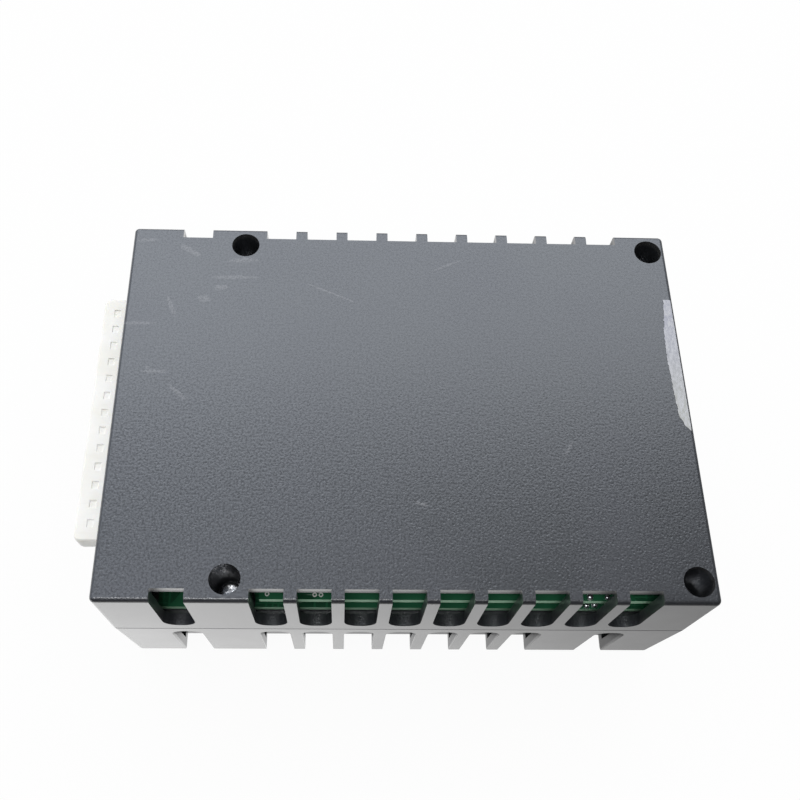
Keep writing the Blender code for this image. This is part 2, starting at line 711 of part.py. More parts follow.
def build_small_parts():
    back_row = CASE_DEPTH - BACK_ROW_INSET
    hang_block("power_inductor", (INDUCTOR_X, back_row), INDUCTOR_SIZE, FERRITE, INDUCTOR_EDGE)
    hang_block("voltage_regulator", (REGULATOR_X, back_row), REGULATOR_SIZE, BLACK_RESIN, MOULDED_EDGE)
    hang_block("input_fuse", (FUSE_X, back_row), FUSE_SIZE, FUSE_BODY, MOULDED_EDGE)
    for index in range(2):
        place = (SENSE_X + index * SENSE_SPACING, SENSE_Y)
        hang_block(f"sense_resistor_{index + 1}", place, SENSE_SIZE, BLACK_RESIN, FINE_EDGE)
    link_size = (*LINK_SIZE, STACK_GAP - 2 * FIT)
    block_object("board_link", LINK_PLACE, link_size, POWER_TOP_Z + FIT, BLACK_RESIN, MOULDED_EDGE)
    stand_block("microcontroller", CONTROLLER_PLACE, CONTROLLER_SIZE, BLACK_RESIN, FINE_EDGE)
    stand_block("crystal", CRYSTAL_PLACE, CRYSTAL_SIZE, ALUMINIUM, CRYSTAL_EDGE)
    for index in range(COUPLERS):
        shift = (index - (COUPLERS - 1) / 2) * COUPLER_SPACING
        place = (COUPLER_X, CASE_DEPTH / 2 + shift)
        stand_block(f"optocoupler_{index + 1}", place, COUPLER_SIZE, BLACK_RESIN, MOULDED_EDGE)


# Selector switch ----------------------------------------------------------------------------

def slider_centres():
    return [(index - (SWITCH_WAYS - 1) / 2) * SWITCH_PITCH for index in range(SWITCH_WAYS)]


SLIDER_REST_Z = (SWITCH_BOTTOM_Z + SWITCH_TOP_Z - SLIDER_TRAVEL) / 2


def slider_slots(bm):
    face = from_left(SWITCH_FACE_X)
    half = SLIDER_SIZE / 2 + FIT
    for y in slider_centres():
        low = (face - SLIDER_SUNK - FIT, y - half, SLIDER_REST_Z - half)
        add_box(bm, low, (face + OVERCUT, y + half, SLIDER_REST_Z + SLIDER_TRAVEL + half))


def build_switch():
    face = from_left(SWITCH_FACE_X)
    low = (face - SWITCH_DEPTH, -SWITCH_HALF, SWITCH_BOTTOM_Z)
    body = box_object("selector_switch", low, (face, SWITCH_HALF, SWITCH_TOP_Z), SWITCH_BLUE, MOULDED_EDGE)
    combine(body, cutter("slider_slots", slider_slots))
    half = SLIDER_SIZE / 2
    for index, y in enumerate(slider_centres(), start=1):
        low = (face - SLIDER_SUNK, y - half, SLIDER_REST_Z - half)
        high = (face + SLIDER_PROUD, y + half, SLIDER_REST_Z + half)
        box_object(f"selector_slider_{index}", low, high, SLIDER_WHITE, FINE_EDGE)


build_upper_shell()
build_lower_shell()
build_screws()
build_spacers()
build_header()
build_pins()
build_boards()
build_capacitors()
build_driver_and_sink()
build_small_parts()
build_switch()
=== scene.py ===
"""Looks of the stepper driver module: materials, small parts on its boards, a floor, lights and a camera."""

import math
import random

import bmesh
import bpy
from mathutils import Matrix, Vector


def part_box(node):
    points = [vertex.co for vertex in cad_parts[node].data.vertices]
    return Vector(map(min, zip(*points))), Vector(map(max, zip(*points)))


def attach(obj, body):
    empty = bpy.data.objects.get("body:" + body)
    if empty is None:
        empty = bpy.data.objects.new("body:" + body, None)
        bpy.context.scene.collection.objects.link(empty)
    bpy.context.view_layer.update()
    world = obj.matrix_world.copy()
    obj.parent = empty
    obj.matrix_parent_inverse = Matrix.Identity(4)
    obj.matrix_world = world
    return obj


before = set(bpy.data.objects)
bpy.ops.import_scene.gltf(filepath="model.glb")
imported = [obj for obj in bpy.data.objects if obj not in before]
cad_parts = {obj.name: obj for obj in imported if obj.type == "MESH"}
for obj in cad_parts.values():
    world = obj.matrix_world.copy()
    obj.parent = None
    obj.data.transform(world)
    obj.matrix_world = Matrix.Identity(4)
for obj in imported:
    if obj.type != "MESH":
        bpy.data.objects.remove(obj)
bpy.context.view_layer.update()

# Frame ----------------------------------------

MM = 0.001
MODULE = "module"
SLIDERS = 6
HEADER_PINS = 13
BOARD_SCREWS = 4

CASE_LOW, CASE_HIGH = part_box("upper_shell")
TOP_Z = CASE_HIGH.z
CONTROL_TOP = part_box("control_board")[1].z
POWER_UNDER, POWER_TOP = (corner.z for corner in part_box("power_board"))


def node_middle(name):
    low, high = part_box(name)
    return (low + high) / 2


def numbered(name, count):
    """The names of equal nodes, counted from 1."""
    return [f"{name}_{index + 1}" for index in range(count)]


CAPACITORS = numbered("bulk_capacitor", 2)
SENSE_RESISTORS = numbered("sense_resistor", 2)
OPTOCOUPLERS = numbered("optocoupler", 3)


# Mesh helpers ----------------------------------------


def piece(name, bm, material, smooth_angle=None):
    """Turns a mesh into an object that rides on the module, in the material of this name."""
    bmesh.ops.recalc_face_normals(bm, faces=bm.faces)
    mesh = bpy.data.meshes.new(name)
    bm.to_mesh(mesh)
    bm.free()
    if smooth_angle:
        mesh.shade_smooth()
        mesh.set_sharp_from_angle(angle=math.radians(smooth_angle))
    mesh.materials.append(MATERIALS[material])
    obj = bpy.data.objects.new(name, mesh)
    bpy.context.scene.collection.objects.link(obj)
    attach(obj, MODULE)


def block(bm, centre, size, bevel=0.0, turn=0.0):
    """A box with its edges taken off."""
    matrix = Matrix.Translation(centre) @ Matrix.Rotation(turn, 4, "Z") @ Matrix.Diagonal((*size, 1))
    verts = bmesh.ops.create_cube(bm, size=1, matrix=matrix)["verts"]
    if bevel:
        edges = list(dict.fromkeys(edge for vert in verts for edge in vert.link_edges))
        bmesh.ops.bevel(bm, geom=edges, offset=bevel, segments=2, profile=0.6, affect="EDGES")


def turned(bm, profile, matrix, sides=20):
    """A profile of (radius, height) points turned about Z, closed where its ends reach the axis."""
    rings = []
    for radius, height in profile:
        if radius == 0:
            rings.append([bm.verts.new(matrix @ Vector((0, 0, height)))])
            continue
        ring = []
        for step in range(sides):
            angle = 2 * math.pi * step / sides
            point = Vector((radius * math.cos(angle), radius * math.sin(angle), height))
            ring.append(bm.verts.new(matrix @ point))
        rings.append(ring)
    for lower, upper in zip(rings, rings[1:]):
        for step in range(sides):
            after = (step + 1) % sides
            corners = [lower[step % len(lower)], lower[after % len(lower)]]
            corners += [upper[after % len(upper)], upper[step % len(upper)]]
            corners = list(dict.fromkeys(corners))
            if len(corners) > 2:
                bm.faces.new(corners)


def strip(bm, path, width, thickness, matrix):
    """A flat wire of this width, bent along a path of (out, up) points."""
    points = [Vector((out, 0, up)) for out, up in path]
    rings = []
    for index, point in enumerate(points):
        before = points[max(index - 1, 0)]
        after = points[min(index + 1, len(points) - 1)]
        along = (after - before).normalized()
        normal = Vector((-along.z, 0, along.x)) * thickness / 2
        side = Vector((0, width / 2, 0))
        corners = (normal + side, normal - side, -normal - side, side - normal)
        rings.append([bm.verts.new(matrix @ (point + corner)) for corner in corners])
    for first, second in zip(rings, rings[1:]):
        for step in range(4):
            after = (step + 1) % 4
            bm.faces.new((first[step], first[after], second[after], second[step]))
    bm.faces.new(rings[0])
    bm.faces.new(list(reversed(rings[-1])))


def scaled(points, first, second):
    """Points of two measures, each multiplied by its own factor."""
    return [(one * first, other * second) for one, other in points]


def facing(x, y, z, angle):
    """A place on a board, turned about Z."""
    return Matrix.Translation((x, y, z)) @ Matrix.Rotation(angle, 4, "Z")


UPSIDE_DOWN = Matrix.Rotation(math.pi, 4, "X")


# Node trees ----------------------------------------

# The mix node's colour sockets: its inputs A and B, and its result
MIX_A, MIX_B, MIX_RESULT = 6, 7, 2


class Tree:
    """A tree of shader nodes, made from left to right by calls that return sockets."""

    def __init__(self, node_tree):
        self.nodes = node_tree.nodes
        self.links = node_tree.links

    def feed(self, socket, value):
        if isinstance(value, bpy.types.NodeSocket):
            self.links.new(value, socket)
        elif isinstance(value, tuple) and len(value) == 3 and socket.type == "RGBA":
            socket.default_value = (*value, 1.0)
        else:
            socket.default_value = value

    def coordinates(self, kind):
        return self.nodes.new("ShaderNodeTexCoord").outputs[kind]

    def math(self, operation, first, second=0.0, clamp=False):
        node = self.nodes.new("ShaderNodeMath")
        node.operation = operation
        node.use_clamp = clamp
        for socket, value in zip(node.inputs, (first, second)):
            self.feed(socket, value)
        return node.outputs[0]

    def range(self, value, low, high, to_low=0.0, to_high=1.0):
        """A smooth step: to_low where the value is low, to_high where it is high."""
        node = self.nodes.new("ShaderNodeMapRange")
        node.interpolation_type = "SMOOTHSTEP"
        for socket, number in zip(node.inputs, (value, low, high, to_low, to_high)):
            self.feed(socket, number)
        return node.outputs["Result"]

    def parts(self, vector):
        node = self.nodes.new("ShaderNodeSeparateXYZ")
        self.feed(node.inputs[0], vector)
        return node.outputs

    def mix_shaders(self, factor, first, second):
        node = self.nodes.new("ShaderNodeMixShader")
        for socket, value in zip(node.inputs, (factor, first, second)):
            self.feed(socket, value)
        return node.outputs[0]


class Graph(Tree):
    """A material's nodes around its principled shader."""

    def __init__(self, name):
        self.material = bpy.data.materials.new(name)
        self.material.use_nodes = True
        super().__init__(self.material.node_tree)
        self.shader = self.nodes["Principled BSDF"]
        self.object_place = self.coordinates("Object")

    def set(self, **inputs):
        """Sets the shader's sockets: base_color=... sets Base Color."""
        names = {socket.name.lower().replace(" ", "_"): socket for socket in self.shader.inputs}
        for name, value in inputs.items():
            self.feed(names[name], value)

    def stretch(self, scale, turn=0.0, shift=(0.0, 0.0, 0.0)):
        """The object's own coordinates, shifted, turned about Z and scaled."""
        node = self.nodes.new("ShaderNodeMapping")
        node.vector_type = "TEXTURE"
        self.feed(node.inputs["Vector"], self.object_place)
        node.inputs["Location"].default_value = shift
        node.inputs["Rotation"].default_value = (0, 0, turn)
        node.inputs["Scale"].default_value = scale
        return node.outputs["Vector"]

    def noise(self, size, detail=2.0, roughness=0.5, distortion=0.0, place=None):
        """Cloudy noise from 0 to 1 whose blobs are about this size."""
        node = self.nodes.new("ShaderNodeTexNoise")
        self.feed(node.inputs["Vector"], place or self.object_place)
        node.inputs["Scale"].default_value = 1 / size
        node.inputs["Detail"].default_value = detail
        node.inputs["Roughness"].default_value = roughness
        node.inputs["Distortion"].default_value = distortion
        return node.outputs["Fac"]

    def cells(self, size, randomness=1.0):
        """Distance to the middle of the nearest cell, for cells of about this size."""
        node = self.nodes.new("ShaderNodeTexVoronoi")
        self.feed(node.inputs["Vector"], self.object_place)
        node.inputs["Scale"].default_value = 1 / size
        node.inputs["Randomness"].default_value = randomness
        return node.outputs["Distance"]

    def blend(self, factor, first, second):
        node = self.nodes.new("ShaderNodeMix")
        node.data_type = "RGBA"
        node.clamp_factor = True
        self.feed(node.inputs["Factor"], factor)
        self.feed(node.inputs[MIX_A], first)
        self.feed(node.inputs[MIX_B], second)
        return node.outputs[MIX_RESULT]

    def normal_parts(self):
        return self.parts(self.coordinates("Normal"))

    def bump(self, height, depth, before=None):
        """The surface normal of a height from 0 to 1 that stands for this depth."""
        node = self.nodes.new("ShaderNodeBump")
        node.inputs["Strength"].default_value = 1.0
        node.inputs["Distance"].default_value = depth
        self.feed(node.inputs["Height"], height)
        if before:
            self.feed(node.inputs["Normal"], before)
        return node.outputs["Normal"]


# Materials ----------------------------------------

# Worn strokes on the top face: x, y, length, width in millimetres, and their turn in degrees
SCUFFS = [
    (-46.8, 35.1, 5.0, 1.0, 4),
    (-38.2, 32.8, 6.4, 1.5, -32),
    (-27.4, 30.7, 6.6, 1.4, 5),
    (-29.0, 26.6, 11.0, 1.1, 1),
    (-31.6, 24.2, 3.6, 1.6, 0),
    (-34.6, 21.6, 3.0, 2.0, 0),
    (-40.8, 19.8, 6.4, 1.0, -68),
    (-46.8, 15.8, 8.4, 0.8, 1),
    (-42.6, 5.4, 6.4, 0.9, 2),
    (-44.0, 6.2, 0.8, 0.8, 0),
    (-38.0, 1.0, 5.2, 1.1, -42),
    (-10.1, 23.2, 14.0, 0.5, -24),
    (12.4, 30.2, 7.0, 0.5, 24),
    (33.0, -9.4, 4.6, 0.6, 60),
    (6.0, -20.5, 3.6, 0.8, -15),
]
# A stroke fades from this share of its squared reach outwards, and this much noise frays its edge
SCUFF_CORE = 0.15
SCUFF_FRAY = 1.8
# The outer skin thins out between these two depths, in millimetres
WALL_SKIN = (0.6, 0.9)
TOP_SKIN = (1.0, 1.4)
BASE_SKIN = (0.2, 0.5)
# The case's base colours: the flat faces' two slow tones, the outer walls' paler tone, which is a painted
# reflection of the white floor, and dust and wear
CASE_TONES = (0.017, 0.019, 0.018), (0.024, 0.025, 0.034)
WALL_REFLECTION_TONE = (0.042, 0.043, 0.043)
DUST_TONE = (0.20, 0.20, 0.22)
WORN_TONE = (0.34, 0.34, 0.36)
# The grain's depth in the case and in its gloss, in millimetres
GRAIN_DEPTH = 0.065
GLOSS_GRAIN_DEPTH = 0.055


def scuff(graph, x, y, length, width, turn):
    """1 along a short worn stroke on the top face, centred on (x, y) in millimetres, 0 away from it."""
    size = (length * MM / 2, width * MM / 2, 1)
    place = graph.parts(graph.stretch(size, math.radians(turn), (x * MM, y * MM, 0)))
    across = graph.math("MULTIPLY", place[1], place[1])
    along = graph.math("MULTIPLY", place[0], place[0])
    fray = graph.math("SUBTRACT", graph.noise(0.9 * MM, 2, 0.6), 0.5)
    fray = graph.math("MULTIPLY", fray, SCUFF_FRAY)
    distance = graph.math("ADD", graph.math("ADD", across, along), fray)
    return graph.range(distance, SCUFF_CORE, 1.0, 1.0, 0.0)


def scuffs(graph, flat):
    """1 on the worn strokes, broken up by the grain, and only on flat faces."""
    strokes = 0.0
    for stroke in SCUFFS:
        strokes = graph.math("MAXIMUM", strokes, scuff(graph, *stroke))
    broken = graph.range(graph.noise(0.40 * MM, 2, 0.7), 0.36, 0.62, 0.35, 1.0)
    return graph.math("MULTIPLY", graph.math("MULTIPLY", strokes, broken), flat)


def outer_skin(graph, place):
    """1 on the case's outside, 0 deeper in its holes, slots and inside."""
    shallow, deep = (depth * MM for depth in TOP_SKIN)
    skin = graph.range(place[2], TOP_Z - deep, TOP_Z - shallow)
    shallow, deep = (depth * MM for depth in BASE_SKIN)
    skin = graph.math("MAXIMUM", skin, graph.range(place[2], shallow, deep, 1.0, 0.0))
    shallow, deep = (depth * MM for depth in WALL_SKIN)
    for axis, low, high in ((0, CASE_LOW.x, CASE_HIGH.x), (1, CASE_LOW.y, CASE_HIGH.y)):
        skin = graph.math("MAXIMUM", skin, graph.range(place[axis], low + shallow, low + deep, 1.0, 0.0))
        skin = graph.math("MAXIMUM", skin, graph.range(place[axis], high - deep, high - shallow))
    return skin


def case_material():
    """Black half-gloss moulding: a fine grain on the flat faces, plainer walls whose paler tone is a painted
    reflection, painted shade in the holes and on the rounded edges, and light wear.
    """
    graph = Graph("case_black_moulding")
    level = graph.math("ABSOLUTE", graph.normal_parts()[2])
    flat = graph.range(level, 0.30, 0.75)
    tilted = graph.range(level, 0.05, 0.15)
    # Rounded edges: their gloss is cut further down, so that they show a painted dark band
    rounded = graph.math("MULTIPLY", tilted, graph.range(level, 0.93, 0.985, 1.0, 0.0))
    place = graph.parts(graph.object_place)
    skin = outer_skin(graph, place)
    clouds = graph.noise(22 * MM, 3, 0.55)
    grain = graph.noise(0.40 * MM, 2, 0.6)
    specks = graph.range(graph.noise(0.50 * MM, 1, 0.4), 0.66, 0.74)

    rubbed = graph.range(graph.noise(9 * MM, 4, 0.65), 0.56, 0.74)
    rubbed = graph.math("MULTIPLY", graph.math("MULTIPLY", rubbed, specks), 0.35)
    worn = graph.math("ADD", rubbed, scuffs(graph, flat), clamp=True)
    # Painted reflection: the outer walls take the paler wall tone, which stands in for the white floor's
    # reflection; the insides of holes and slots do not
    walls = graph.math("MULTIPLY", skin, graph.range(level, 0.06, 0.20, 1.0, 0.0))
    dust = graph.math("MULTIPLY", graph.math("MULTIPLY", specks, flat), 0.10)
    colour = graph.blend(walls, graph.blend(clouds, *CASE_TONES), WALL_REFLECTION_TONE)
    colour = graph.blend(dust, colour, DUST_TONE)
    colour = graph.blend(graph.math("MULTIPLY", worn, 0.24), colour, WORN_TONE)
    rough = graph.range(clouds, 0.3, 0.7, 0.34, 0.42)
    rough = graph.math("ADD", rough, graph.math("MULTIPLY", worn, 0.15))
    graph.set(base_color=colour, roughness=rough, ior=1.75)

    # The grain is fainter towards the back of the top face, and shallow on the walls
    grainy = graph.math("MULTIPLY", flat, graph.range(place[1], -22 * MM, 18 * MM, 1.0, 0.35))
    pits = graph.range(graph.cells(0.62 * MM), 0.05, 0.45)
    height = graph.math("ADD", graph.math("MULTIPLY", grain, 0.7), graph.math("MULTIPLY", pits, 0.3))
    height = graph.math("MULTIPLY", height, graph.range(grainy, 0, 1, 0.10, 1.0))
    graph.set(normal=graph.bump(height, GRAIN_DEPTH * MM))

    # The gloss breaks in the grain's pits. It fades in the holes, as painted shade, and is cut on the
    # rounded edges so that they show a dark band, also painted shade
    matt_pits = graph.range(grain, 0.36, 0.58, 0.85, 0.0)
    gloss = graph.math("SUBTRACT", 1.0, graph.math("MULTIPLY", matt_pits, grainy))
    gloss = graph.math("MULTIPLY", gloss, graph.range(skin, 0, 1, 0.35, 1.0))
    gloss = graph.math("MULTIPLY", gloss, graph.range(rounded, 0, 1, 1.0, 0.25))
    graph.set(coat_weight=gloss, coat_roughness=0.26, coat_ior=1.90)
    graph.set(coat_normal=graph.bump(height, GLOSS_GRAIN_DEPTH * MM))
    return graph.material


def nylon_material():
    """Unpigmented nylon, with faint flow bands and a fine satin skin."""
    graph = Graph("nylon_natural")
    bands = graph.noise(1.2 * MM, 2, 0.5, 0.3, graph.stretch((3.0, 0.6, 1.0)))
    cream = graph.range(graph.noise(9 * MM, 3, 0.6), 0.35, 0.7)
    colour = graph.blend(cream, (0.90, 0.895, 0.870), (0.85, 0.84, 0.79))
    colour = graph.blend(graph.range(bands, 0.5, 0.8, 0, 0.10), colour, (0.66, 0.64, 0.57))
    fine = graph.noise(0.25 * MM, 2, 0.6)
    graph.set(base_color=colour, roughness=graph.range(fine, 0.3, 0.7, 0.42, 0.54))
    graph.set(subsurface_weight=0.12, subsurface_radius=(0.0012, 0.0010, 0.0007))
    graph.set(normal=graph.bump(graph.math("ADD", fine, bands), 0.012 * MM))
    return graph.material


def tracks(graph, across, pitch, reach):
    """1 on parallel copper tracks at this pitch in millimetres, kept in patches of this reach."""
    phase = graph.math("FRACT", graph.math("MULTIPLY", across, 1 / (pitch * MM)))
    line = graph.range(graph.math("ABSOLUTE", graph.math("SUBTRACT", phase, 0.5)), 0.14, 0.20, 1.0, 0.0)
    patch = graph.range(graph.noise(1.6 * MM, 1, 0.3, 0.0, graph.stretch(reach)), 0.50, 0.52)
    return graph.math("MULTIPLY", line, patch)


def board_material():
    """Glass-fibre laminate: green solder mask over copper tracks, pale weave on its cut edges."""
    graph = Graph("circuit_board")
    flat = graph.range(graph.math("ABSOLUTE", graph.normal_parts()[2]), 0.5, 0.9)
    place = graph.parts(graph.object_place)
    x_tracks = tracks(graph, place[1], 0.90, (9.0, 0.9, 1.0))
    y_tracks = tracks(graph, place[0], 1.10, (1.1, 7.0, 1.0))
    copper = graph.math("MAXIMUM", x_tracks, y_tracks)
    pour = graph.cells(16 * MM, 0.6)
    copper = graph.math("MAXIMUM", copper, graph.range(pour, 0.42, 0.43))
    mask = graph.blend(copper, (0.012, 0.085, 0.038), (0.022, 0.150, 0.068))
    mask = graph.blend(graph.range(graph.noise(5 * MM, 3), 0.4, 0.7, 0, 0.25), mask, (0.02, 0.125, 0.065))
    layers = graph.noise(0.30 * MM, 2, 0.6, 0.0, graph.stretch((8.0, 8.0, 0.5)))
    edge = graph.blend(layers, (0.26, 0.55, 0.34), (0.52, 0.76, 0.56))
    graph.set(base_color=graph.blend(flat, edge, mask))
    graph.set(roughness=graph.range(flat, 0, 1, 0.55, 0.28), coat_weight=0.4, coat_roughness=0.12)
    height = graph.math("MULTIPLY", copper, flat)
    fine = graph.bump(graph.noise(0.20 * MM, 2), 0.006 * MM)
    graph.set(normal=graph.bump(height, 0.035 * MM, fine))
    return graph.material


def metal_material(name, colour, dark, roughness, streak, blotch=4.0):
    """A plated or drawn metal: fine streaks along X, Y or Z, and tones that change over its blotches."""
    graph = Graph(name)
    lines = graph.noise(0.10 * MM, 3, 0.6, 0.0, graph.stretch(streak))
    tone = graph.range(graph.noise(blotch * MM, 3, 0.6), 0.3, 0.75)
    graph.set(base_color=graph.blend(tone, colour, dark), metallic=1.0)
    graph.set(roughness=graph.range(lines, 0.25, 0.75, roughness - 0.07, roughness + 0.10))
    graph.set(normal=graph.bump(lines, 0.005 * MM))
    return graph.material


def resin_material(name, colour, speck, roughness, grain, depth=0.010):
    """A moulded or pressed body with a fine grain and paler specks."""
    graph = Graph(name)
    fine = graph.noise(grain * MM, 3, 0.6)
    specks = graph.range(graph.noise(grain * 2.2 * MM, 1, 0.4), 0.64, 0.72)
    tone = graph.range(graph.noise(6 * MM, 3), 0.3, 0.7, 0.0, 0.35)
    paler = graph.math("MAXIMUM", graph.math("MULTIPLY", specks, 0.5), tone)
    graph.set(base_color=graph.blend(paler, colour, speck))
    graph.set(roughness=graph.range(fine, 0.25, 0.75, roughness - 0.05, roughness + 0.08))
    graph.set(normal=graph.bump(fine, depth * MM))
    return graph.material


def sleeve_material():
    """Shrunk sleeve of a capacitor, black with one pale polarity stripe facing +X."""
    graph = Graph("capacitor_sleeve")
    normal = graph.normal_parts()
    stripe = graph.range(normal[0], 0.925, 0.94)
    turns = graph.math("MULTIPLY", graph.parts(graph.object_place)[2], 1 / (3 * MM))
    dashes = graph.range(graph.math("FRACT", turns), 0.45, 0.50)
    dashes = graph.math("MULTIPLY", dashes, graph.range(normal[0], 0.985, 0.99))
    pale = graph.blend(dashes, (0.62, 0.62, 0.60), (0.05, 0.05, 0.06))
    dark = graph.blend(graph.noise(5 * MM, 2), (0.018, 0.018, 0.028), (0.035, 0.035, 0.050))
    graph.set(base_color=graph.blend(stripe, dark, pale), coat_weight=0.5, coat_roughness=0.15)
    graph.set(roughness=graph.range(graph.noise(1.5 * MM, 3), 0.3, 0.7, 0.30, 0.42))
    graph.set(normal=graph.bump(graph.noise(1.1 * MM, 3), 0.020 * MM))
    return graph.material


def paper_material():
    """Torn paper backing: grey-blue fibres, paler and warmer towards the front end."""
    graph = Graph("torn_paper")
    along = graph.range(graph.parts(graph.object_place)[1], -5 * MM, 20 * MM)
    fibres = graph.noise(0.45 * MM, 4, 0.7, 0.6, graph.stretch((1.0, 2.4, 1.0)))
    colour = graph.blend(along, (0.34, 0.35, 0.33), (0.30, 0.31, 0.37))
    colour = graph.blend(graph.range(fibres, 0.3, 0.7), colour, (0.46, 0.47, 0.50))
    graph.set(base_color=colour, roughness=0.8)
    graph.set(normal=graph.bump(fibres, 0.05 * MM))
    return graph.material


MATERIALS = {
    "case": case_material(),
    "nylon": nylon_material(),
    "board": board_material(),
    "tin": metal_material("contact_tin", (0.78, 0.78, 0.76), (0.62, 0.62, 0.61), 0.28, (8.0, 1.0, 1.0)),
    "solder": metal_material("solder", (0.90, 0.90, 0.90), (0.72, 0.73, 0.75), 0.32, (1.0, 1.0, 1.0), 0.8),
    "zinc": metal_material("zinc_plate", (0.74, 0.74, 0.74), (0.60, 0.62, 0.66), 0.26, (1.0, 1.0, 1.0), 1.5),
    "brass": metal_material("turned_brass", (0.74, 0.58, 0.30), (0.58, 0.42, 0.19), 0.30, (6.0, 6.0, 0.6)),
    "aluminium": metal_material("aluminium", (0.77, 0.78, 0.80), (0.64, 0.65, 0.68), 0.34, (12.0, 0.6, 0.6)),
    "nickel": metal_material("drawn_nickel", (0.70, 0.69, 0.66), (0.58, 0.57, 0.55), 0.24, (1.0, 1.0, 6.0)),
    "resin": resin_material("moulded_resin", (0.018, 0.018, 0.019), (0.055, 0.055, 0.058), 0.52, 0.12),
    "pad": resin_material("thermal_pad", (0.40, 0.46, 0.52), (0.55, 0.59, 0.62), 0.78, 0.30, 0.030),
    "ferrite": resin_material("ferrite", (0.075, 0.075, 0.082), (0.16, 0.15, 0.15), 0.60, 0.20, 0.030),
    "ceramic": resin_material("pale_ceramic", (0.78, 0.76, 0.68), (0.68, 0.63, 0.52), 0.48, 0.20),
    "tan": resin_material("capacitor_ceramic", (0.42, 0.29, 0.17), (0.52, 0.38, 0.25), 0.45, 0.15),
    "blue": resin_material("switch_moulding", (0.018, 0.085, 0.33), (0.05, 0.15, 0.42), 0.42, 0.15),
    "white": resin_material("slider_moulding", (0.84, 0.84, 0.82), (0.74, 0.73, 0.69), 0.42, 0.15),
    "print": resin_material("board_print", (0.86, 0.87, 0.84), (0.72, 0.76, 0.70), 0.55, 0.10, 0.020),
    "sleeve": sleeve_material(),
    "paper": paper_material(),
}

NODE_MATERIALS = {
    "case": ["upper_shell", "lower_shell"],
    "nylon": ["header_housing"],
    "board": ["control_board", "power_board"],
    "tin": [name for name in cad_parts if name.startswith("header_pin_")],
    "zinc": [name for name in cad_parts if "_screw_" in name],
    "brass": [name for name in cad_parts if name.startswith("spacer_")],
    "aluminium": ["heat_sink"],
    "nickel": ["crystal"],
    "sleeve": CAPACITORS,
    "resin": ["motor_driver_chip", "microcontroller", "voltage_regulator", "board_link"]
    + SENSE_RESISTORS + OPTOCOUPLERS,
    "pad": ["thermal_pad"],
    "ferrite": ["power_inductor"],
    "ceramic": ["input_fuse"],
    "blue": ["selector_switch"],
    "white": numbered("selector_slider", SLIDERS),
}

# Softening of the CAD nodes: their corners' join, flat faces' and crease angles, and round edges' width
JOIN_DISTANCE = 0.002 * MM
FLAT_ANGLE = math.radians(0.5)
CREASE_ANGLE = math.radians(35)
EDGE_SEGMENTS = 2
EDGE_WIDTHS = {"upper_shell": 0.12, "lower_shell": 0.12, "header_housing": 0.15, "heat_sink": 0.15}


def geometry_group(name, build):
    """A geometry-nodes group that passes the geometry through what build adds."""
    group = bpy.data.node_groups.new(name, "GeometryNodeTree")
    group.interface.new_socket("Geometry", in_out="INPUT", socket_type="NodeSocketGeometry")
    group.interface.new_socket("Geometry", in_out="OUTPUT", socket_type="NodeSocketGeometry")
    start = group.nodes.new("NodeGroupInput").outputs[0]
    group.links.new(build(group, start), group.nodes.new("NodeGroupOutput").inputs[0])
    return group


def joined_faces(group, geometry):
    """Faces share their corners again, without the stored normals."""
    forget = group.nodes.new("GeometryNodeRemoveAttribute")
    forget.inputs["Name"].default_value = "custom_normal"
    merge = group.nodes.new("GeometryNodeMergeByDistance")
    merge.inputs["Distance"].default_value = JOIN_DISTANCE
    group.links.new(geometry, forget.inputs["Geometry"])
    group.links.new(forget.outputs["Geometry"], merge.inputs["Geometry"])
    return merge.outputs["Geometry"]


def smooth_by_angle(group, geometry):
    """Smooth faces, with an edge sharp where its faces meet at more than the crease angle."""
    angle = group.nodes.new("GeometryNodeInputMeshEdgeAngle")
    gentle = group.nodes.new("FunctionNodeCompare")
    gentle.operation = "LESS_THAN"
    gentle.inputs[1].default_value = CREASE_ANGLE
    group.links.new(angle.outputs["Unsigned Angle"], gentle.inputs[0])
    faces = group.nodes.new("GeometryNodeSetShadeSmooth")
    edges = group.nodes.new("GeometryNodeSetShadeSmooth")
    edges.domain = "EDGE"
    group.links.new(geometry, faces.inputs["Geometry"])
    group.links.new(faces.outputs["Geometry"], edges.inputs["Geometry"])
    group.links.new(gentle.outputs[0], edges.inputs["Shade Smooth"])
    return edges.outputs["Geometry"]


def soften_nodes():
    """Smooth round faces on every CAD node, and small round edges on the shells, the header housing and the
    heat sink.
    """
    join = geometry_group("joined_faces", joined_faces)
    smooth = geometry_group("smooth_by_angle", smooth_by_angle)
    for name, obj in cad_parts.items():
        obj.modifiers.new("join", "NODES").node_group = join
        if name in EDGE_WIDTHS:
            merge = obj.modifiers.new("planes", "DECIMATE")
            merge.decimate_type = "DISSOLVE"
            merge.angle_limit = FLAT_ANGLE
            bevel = obj.modifiers.new("edges", "BEVEL")
            bevel.width = EDGE_WIDTHS[name] * MM
            bevel.segments = EDGE_SEGMENTS
            bevel.limit_method = "ANGLE"
            bevel.angle_limit = CREASE_ANGLE
        obj.modifiers.new("smooth", "NODES").node_group = smooth
        even = obj.modifiers.new("even_normals", "WEIGHTED_NORMAL")
        even.keep_sharp = True


def paint_nodes():
    for key, names in NODE_MATERIALS.items():
        for name in names:
            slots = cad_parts[name].data.materials
            slots.clear()
            slots.append(MATERIALS[key])


# Torn label ----------------------------------------

